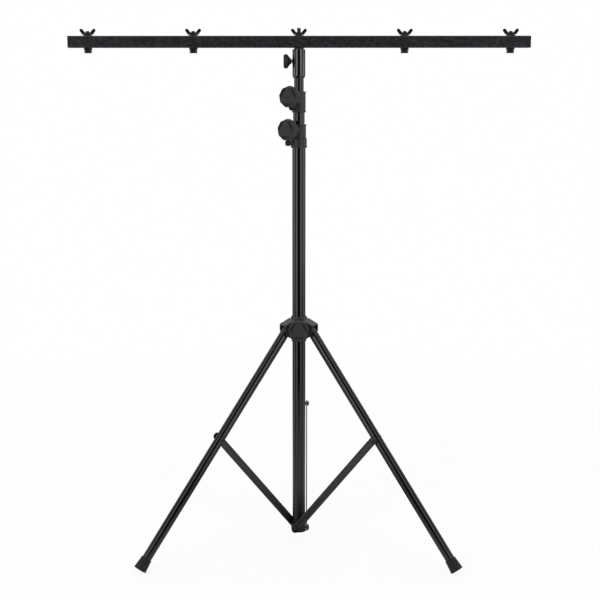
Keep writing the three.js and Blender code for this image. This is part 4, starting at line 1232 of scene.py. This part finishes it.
def dress_bolts():
    low, high = extent("t_bar")
    half_bar = (high.z - low.z) / 2
    bolt = finished(fixture_bolt(half_bar))
    nut = finished(wing_nut())
    for number in NUT_NUMBERS:
        place = joint_point(f"wing_nut_turn_{number}").x
        if number != CENTRE_NUT:
            dress(f"fixture_bolt_{number}", bolt, Matrix.Translation((place, mast_y, low.z + half_bar)))
        dress(f"wing_nut_{number}", nut, Matrix.Translation((place, mast_y, high.z + SEAT_GAP)))


dress_mast_tubes()
dress_hub()
dress_tripod()
dress("crown", finished(crown()), on_mast(PIVOT_HEIGHT))
dress_clamps()
dress_collars()
dress_sleeve()
dress_bar_stud()
dress_cross_bar()
dress_bolts()
for hidden in ("mid_tube_guide", "inner_tube_guide"):
    finish_node(hidden)


# Floor, light and camera
FLOOR_SIZE = 30.0
FLOOR_DROP = 0.0003
FLOOR_COLOUR = (0.86, 0.86, 0.86, 1)
FLOOR_ROUGHNESS = 0.9
FLOOR_SPECULAR = 0.2
FLOOR_WHITE_NEAR = 0.9
FLOOR_WHITE_REACH = (1.2, 2.6)
# The floor's glow to mirror rays: painted shade close to the mast, then a painted reflection of the
# studio's ring further out
FLOOR_PAINTED_SHADE_CLOSE = 0.1
FLOOR_PAINTED_SHADE_REACH = (0.12, 0.35)
FLOOR_PAINTED_REFLECTION_NEAR = 0.72
FLOOR_PAINTED_REFLECTION_REACH = (0.5, 1.6)
FLOOR_PAINTED_RING_NEAR = 0.52
FLOOR_PAINTED_RING_REACH = (2.0, 11.0)
WHITE = (1, 1, 1, 1)
OVERHEAD_RISE = (0.72, 0.92)
OVERHEAD_BRIGHTNESS = 1.2
RAISED_GAP_RISE = (0.26, 0.4)
RAISED_GAP_SHARE = 0.12
RAISED_GAP_START = (45, 52)
RAISED_GAP_END = (94, 106)
BACK_LIGHT_RISE = (0.25, 0.4)
BACK_LIGHT_BRIGHTNESS = 1.1
RING_FULL = 2.5
SOFTBOX_AIM_HEIGHT = 0.75
# Brightness of the studio round the stand, by degrees from the camera's side: a dark room behind the
# camera and two soft panels on each side
RING_STOPS = (
    (0, 0.0), (17, 0.0), (24, 0.7), (30, 2.2), (49, 2.3), (56, 0.15), (71, 0.15),
    (77, 2.0), (92, 2.1), (104, 1.1), (118, 0.75), (132, 0.3), (146, 0.1), (180, 0.1),
)


def ring_group():
    """The studio's brightness in the direction of a vector, and the angle from the camera's side."""
    group, given, out = new_group("studio_ring", {"Vector": None}, ("Brightness", "Degrees"))
    split = add_node(group, "SeparateXYZ", Vector=given["Vector"]).outputs
    aside = math_node(group, "ABSOLUTE", split["X"], 0)
    angle = math_node(group, "ARCTAN2", aside, product(group, split["Y"], -1))
    ramp = add_node(group, "ValToRGB", Fac=math_node(group, "DIVIDE", angle, math.pi))
    stops = ramp.color_ramp.elements
    while len(stops) < len(RING_STOPS):
        stops.new(0.5)
    for stop, (degrees, brightness) in zip(stops, RING_STOPS):
        share = brightness / RING_FULL
        stop.position = degrees / 180
        stop.color = (share, share, share, 1)
    feed(group, out["Brightness"], product(group, ramp.outputs["Color"], RING_FULL))
    feed(group, out["Degrees"], math_node(group, "DIVIDE", angle, DEG))
    return group


RING = ring_group()


def add_floor():
    """Lit for the light it throws back, white to the camera, and to mirror rays a glow that holds a painted
    reflection of the studio's ring, dimmed to painted shade close to the mast.
    """
    half = FLOOR_SIZE / 2
    mesh = bpy.data.meshes.new("floor")
    square = [(-half, -half), (half, -half), (half, half), (-half, half)]
    mesh.from_pydata([(x, y, -FLOOR_DROP) for x, y in square], [], [(0, 1, 2, 3)])
    material, tree, lit = new_material("pale_floor")
    give(tree, lit, Base_Color=FLOOR_COLOUR, Roughness=FLOOR_ROUGHNESS, Specular_IOR_Level=FLOOR_SPECULAR)
    place = add_node(tree, "NewGeometry").outputs["Position"]
    shift = add_node(tree, "VectorMath", operation="SUBTRACT", Vector=place)
    shift.inputs[1].default_value = (mast_x * MM, mast_y * MM, 0)
    from_mast = shift.outputs["Vector"]
    away = add_node(tree, "VectorMath", operation="LENGTH", Vector=from_mast).outputs["Value"]
    # Painted reflection of the studio's ring for mirror rays, dimmed to a painted shade close to the mast
    ring = add_node(tree, "Group", node_tree=RING, Vector=from_mast).outputs["Brightness"]
    fading = blend(tree, ramp_between(tree, away, *FLOOR_PAINTED_RING_REACH), FLOOR_PAINTED_RING_NEAR, 1.0)
    leaving = ramp_between(tree, away, *FLOOR_PAINTED_SHADE_REACH)
    near = blend(tree, leaving, FLOOR_PAINTED_SHADE_CLOSE, FLOOR_PAINTED_REFLECTION_NEAR)
    far = ramp_between(tree, away, *FLOOR_PAINTED_REFLECTION_REACH)
    painted_reflection = blend(tree, far, near, product(tree, ring, fading))
    path = add_node(tree, "LightPath").outputs
    mirrored = math_node(tree, "MAXIMUM", path["Is Glossy Ray"], path["Is Transmission Ray"])
    white = blend(tree, ramp_between(tree, away, *FLOOR_WHITE_REACH), FLOOR_WHITE_NEAR, 1.0)
    whitened = product(tree, path["Is Camera Ray"], white)
    strength = blend(tree, mirrored, 1.0, painted_reflection)
    glow = add_node(tree, "Emission", Color=WHITE, Strength=strength)
    mix = add_node(tree, "MixShader", Fac=math_node(tree, "MAXIMUM", whitened, mirrored))
    feed(tree, mix.inputs[1], lit.outputs[0])
    feed(tree, mix.inputs[2], glow.outputs[0])
    give(tree, tree.nodes["Material Output"], Surface=mix.outputs[0])
    mesh.materials.append(material)
    add_object("floor", mesh)


def add_world():
    """White to the camera; to other rays soft panels with a raised gap, a high back light and a ceiling."""
    world = bpy.data.worlds.new("studio")
    scene.world = world
    world.use_nodes = True
    tree = world.node_tree
    direction = add_node(tree, "TexCoord").outputs["Generated"]
    split = add_node(tree, "SeparateXYZ", Vector=direction).outputs
    raised = ramp_between(tree, split["Z"], *BACK_LIGHT_RISE)
    behind = ramp_between(tree, split["Y"], *BACK_LIGHT_RISE)
    ring = add_node(tree, "Group", node_tree=RING, Vector=direction).outputs
    above = ramp_between(tree, split["Z"], *RAISED_GAP_RISE)
    entering = ramp_between(tree, ring["Degrees"], *RAISED_GAP_START)
    leaving = ramp_between(tree, ring["Degrees"], *RAISED_GAP_END)
    gap = product(tree, above, math_node(tree, "SUBTRACT", entering, leaving))
    panels = product(tree, ring["Brightness"], blend(tree, gap, 1.0, RAISED_GAP_SHARE))
    walls = blend(tree, product(tree, raised, behind), panels, BACK_LIGHT_BRIGHTNESS)
    ceiling = ramp_between(tree, split["Z"], *OVERHEAD_RISE)
    studio = blend(tree, ceiling, walls, OVERHEAD_BRIGHTNESS)
    camera_ray = add_node(tree, "LightPath").outputs["Is Camera Ray"]
    give(tree, tree.nodes["Background"], Color=WHITE, Strength=blend(tree, camera_ray, studio, 1.0))


def add_softbox(name, azimuth, height, distance, width, length, power):
    """A soft area lamp facing the mast; azimuth 0 is the camera's side, positive to its right."""
    data = bpy.data.lights.new(name, "AREA")
    data.shape = "RECTANGLE"
    data.size = width
    data.size_y = length
    data.energy = power
    lamp = add_object(name, data)
    lamp.visible_glossy = False
    middle = Vector((mast_x * MM, mast_y * MM, SOFTBOX_AIM_HEIGHT))
    aside, back = math.sin(azimuth * DEG), math.cos(azimuth * DEG)
    lamp.location = Vector((middle.x + distance * aside, middle.y - distance * back, height))
    lamp.rotation_euler = (middle - lamp.location).to_track_quat("-Z", "Y").to_euler()


def add_camera():
    data = bpy.data.cameras.new("camera")
    data.lens = CAMERA_LENS
    data.sensor_width = CAMERA_SENSOR
    data.shift_x = MAST_LEFT_OF_CENTRE_PIXELS / FRAME_PIXELS
    camera = add_object("camera", data)
    camera.location = (
        mast_x * MM + CAMERA_DISTANCE * math.sin(CAMERA_AZIMUTH),
        mast_y * MM - CAMERA_DISTANCE * math.cos(CAMERA_AZIMUTH),
        CAMERA_HEIGHT,
    )
    camera.rotation_euler = (90 * DEG - CAMERA_PITCH, 0, CAMERA_AZIMUTH)
    scene.camera = camera


add_floor()
add_world()
for side, azimuth in (("left", -42), ("right", 42)):
    add_softbox(f"panel_{side}", azimuth, height=1.6, distance=3.2, width=1.4, length=2.4, power=14)
add_camera()

scene.view_settings.view_transform = "Standard"
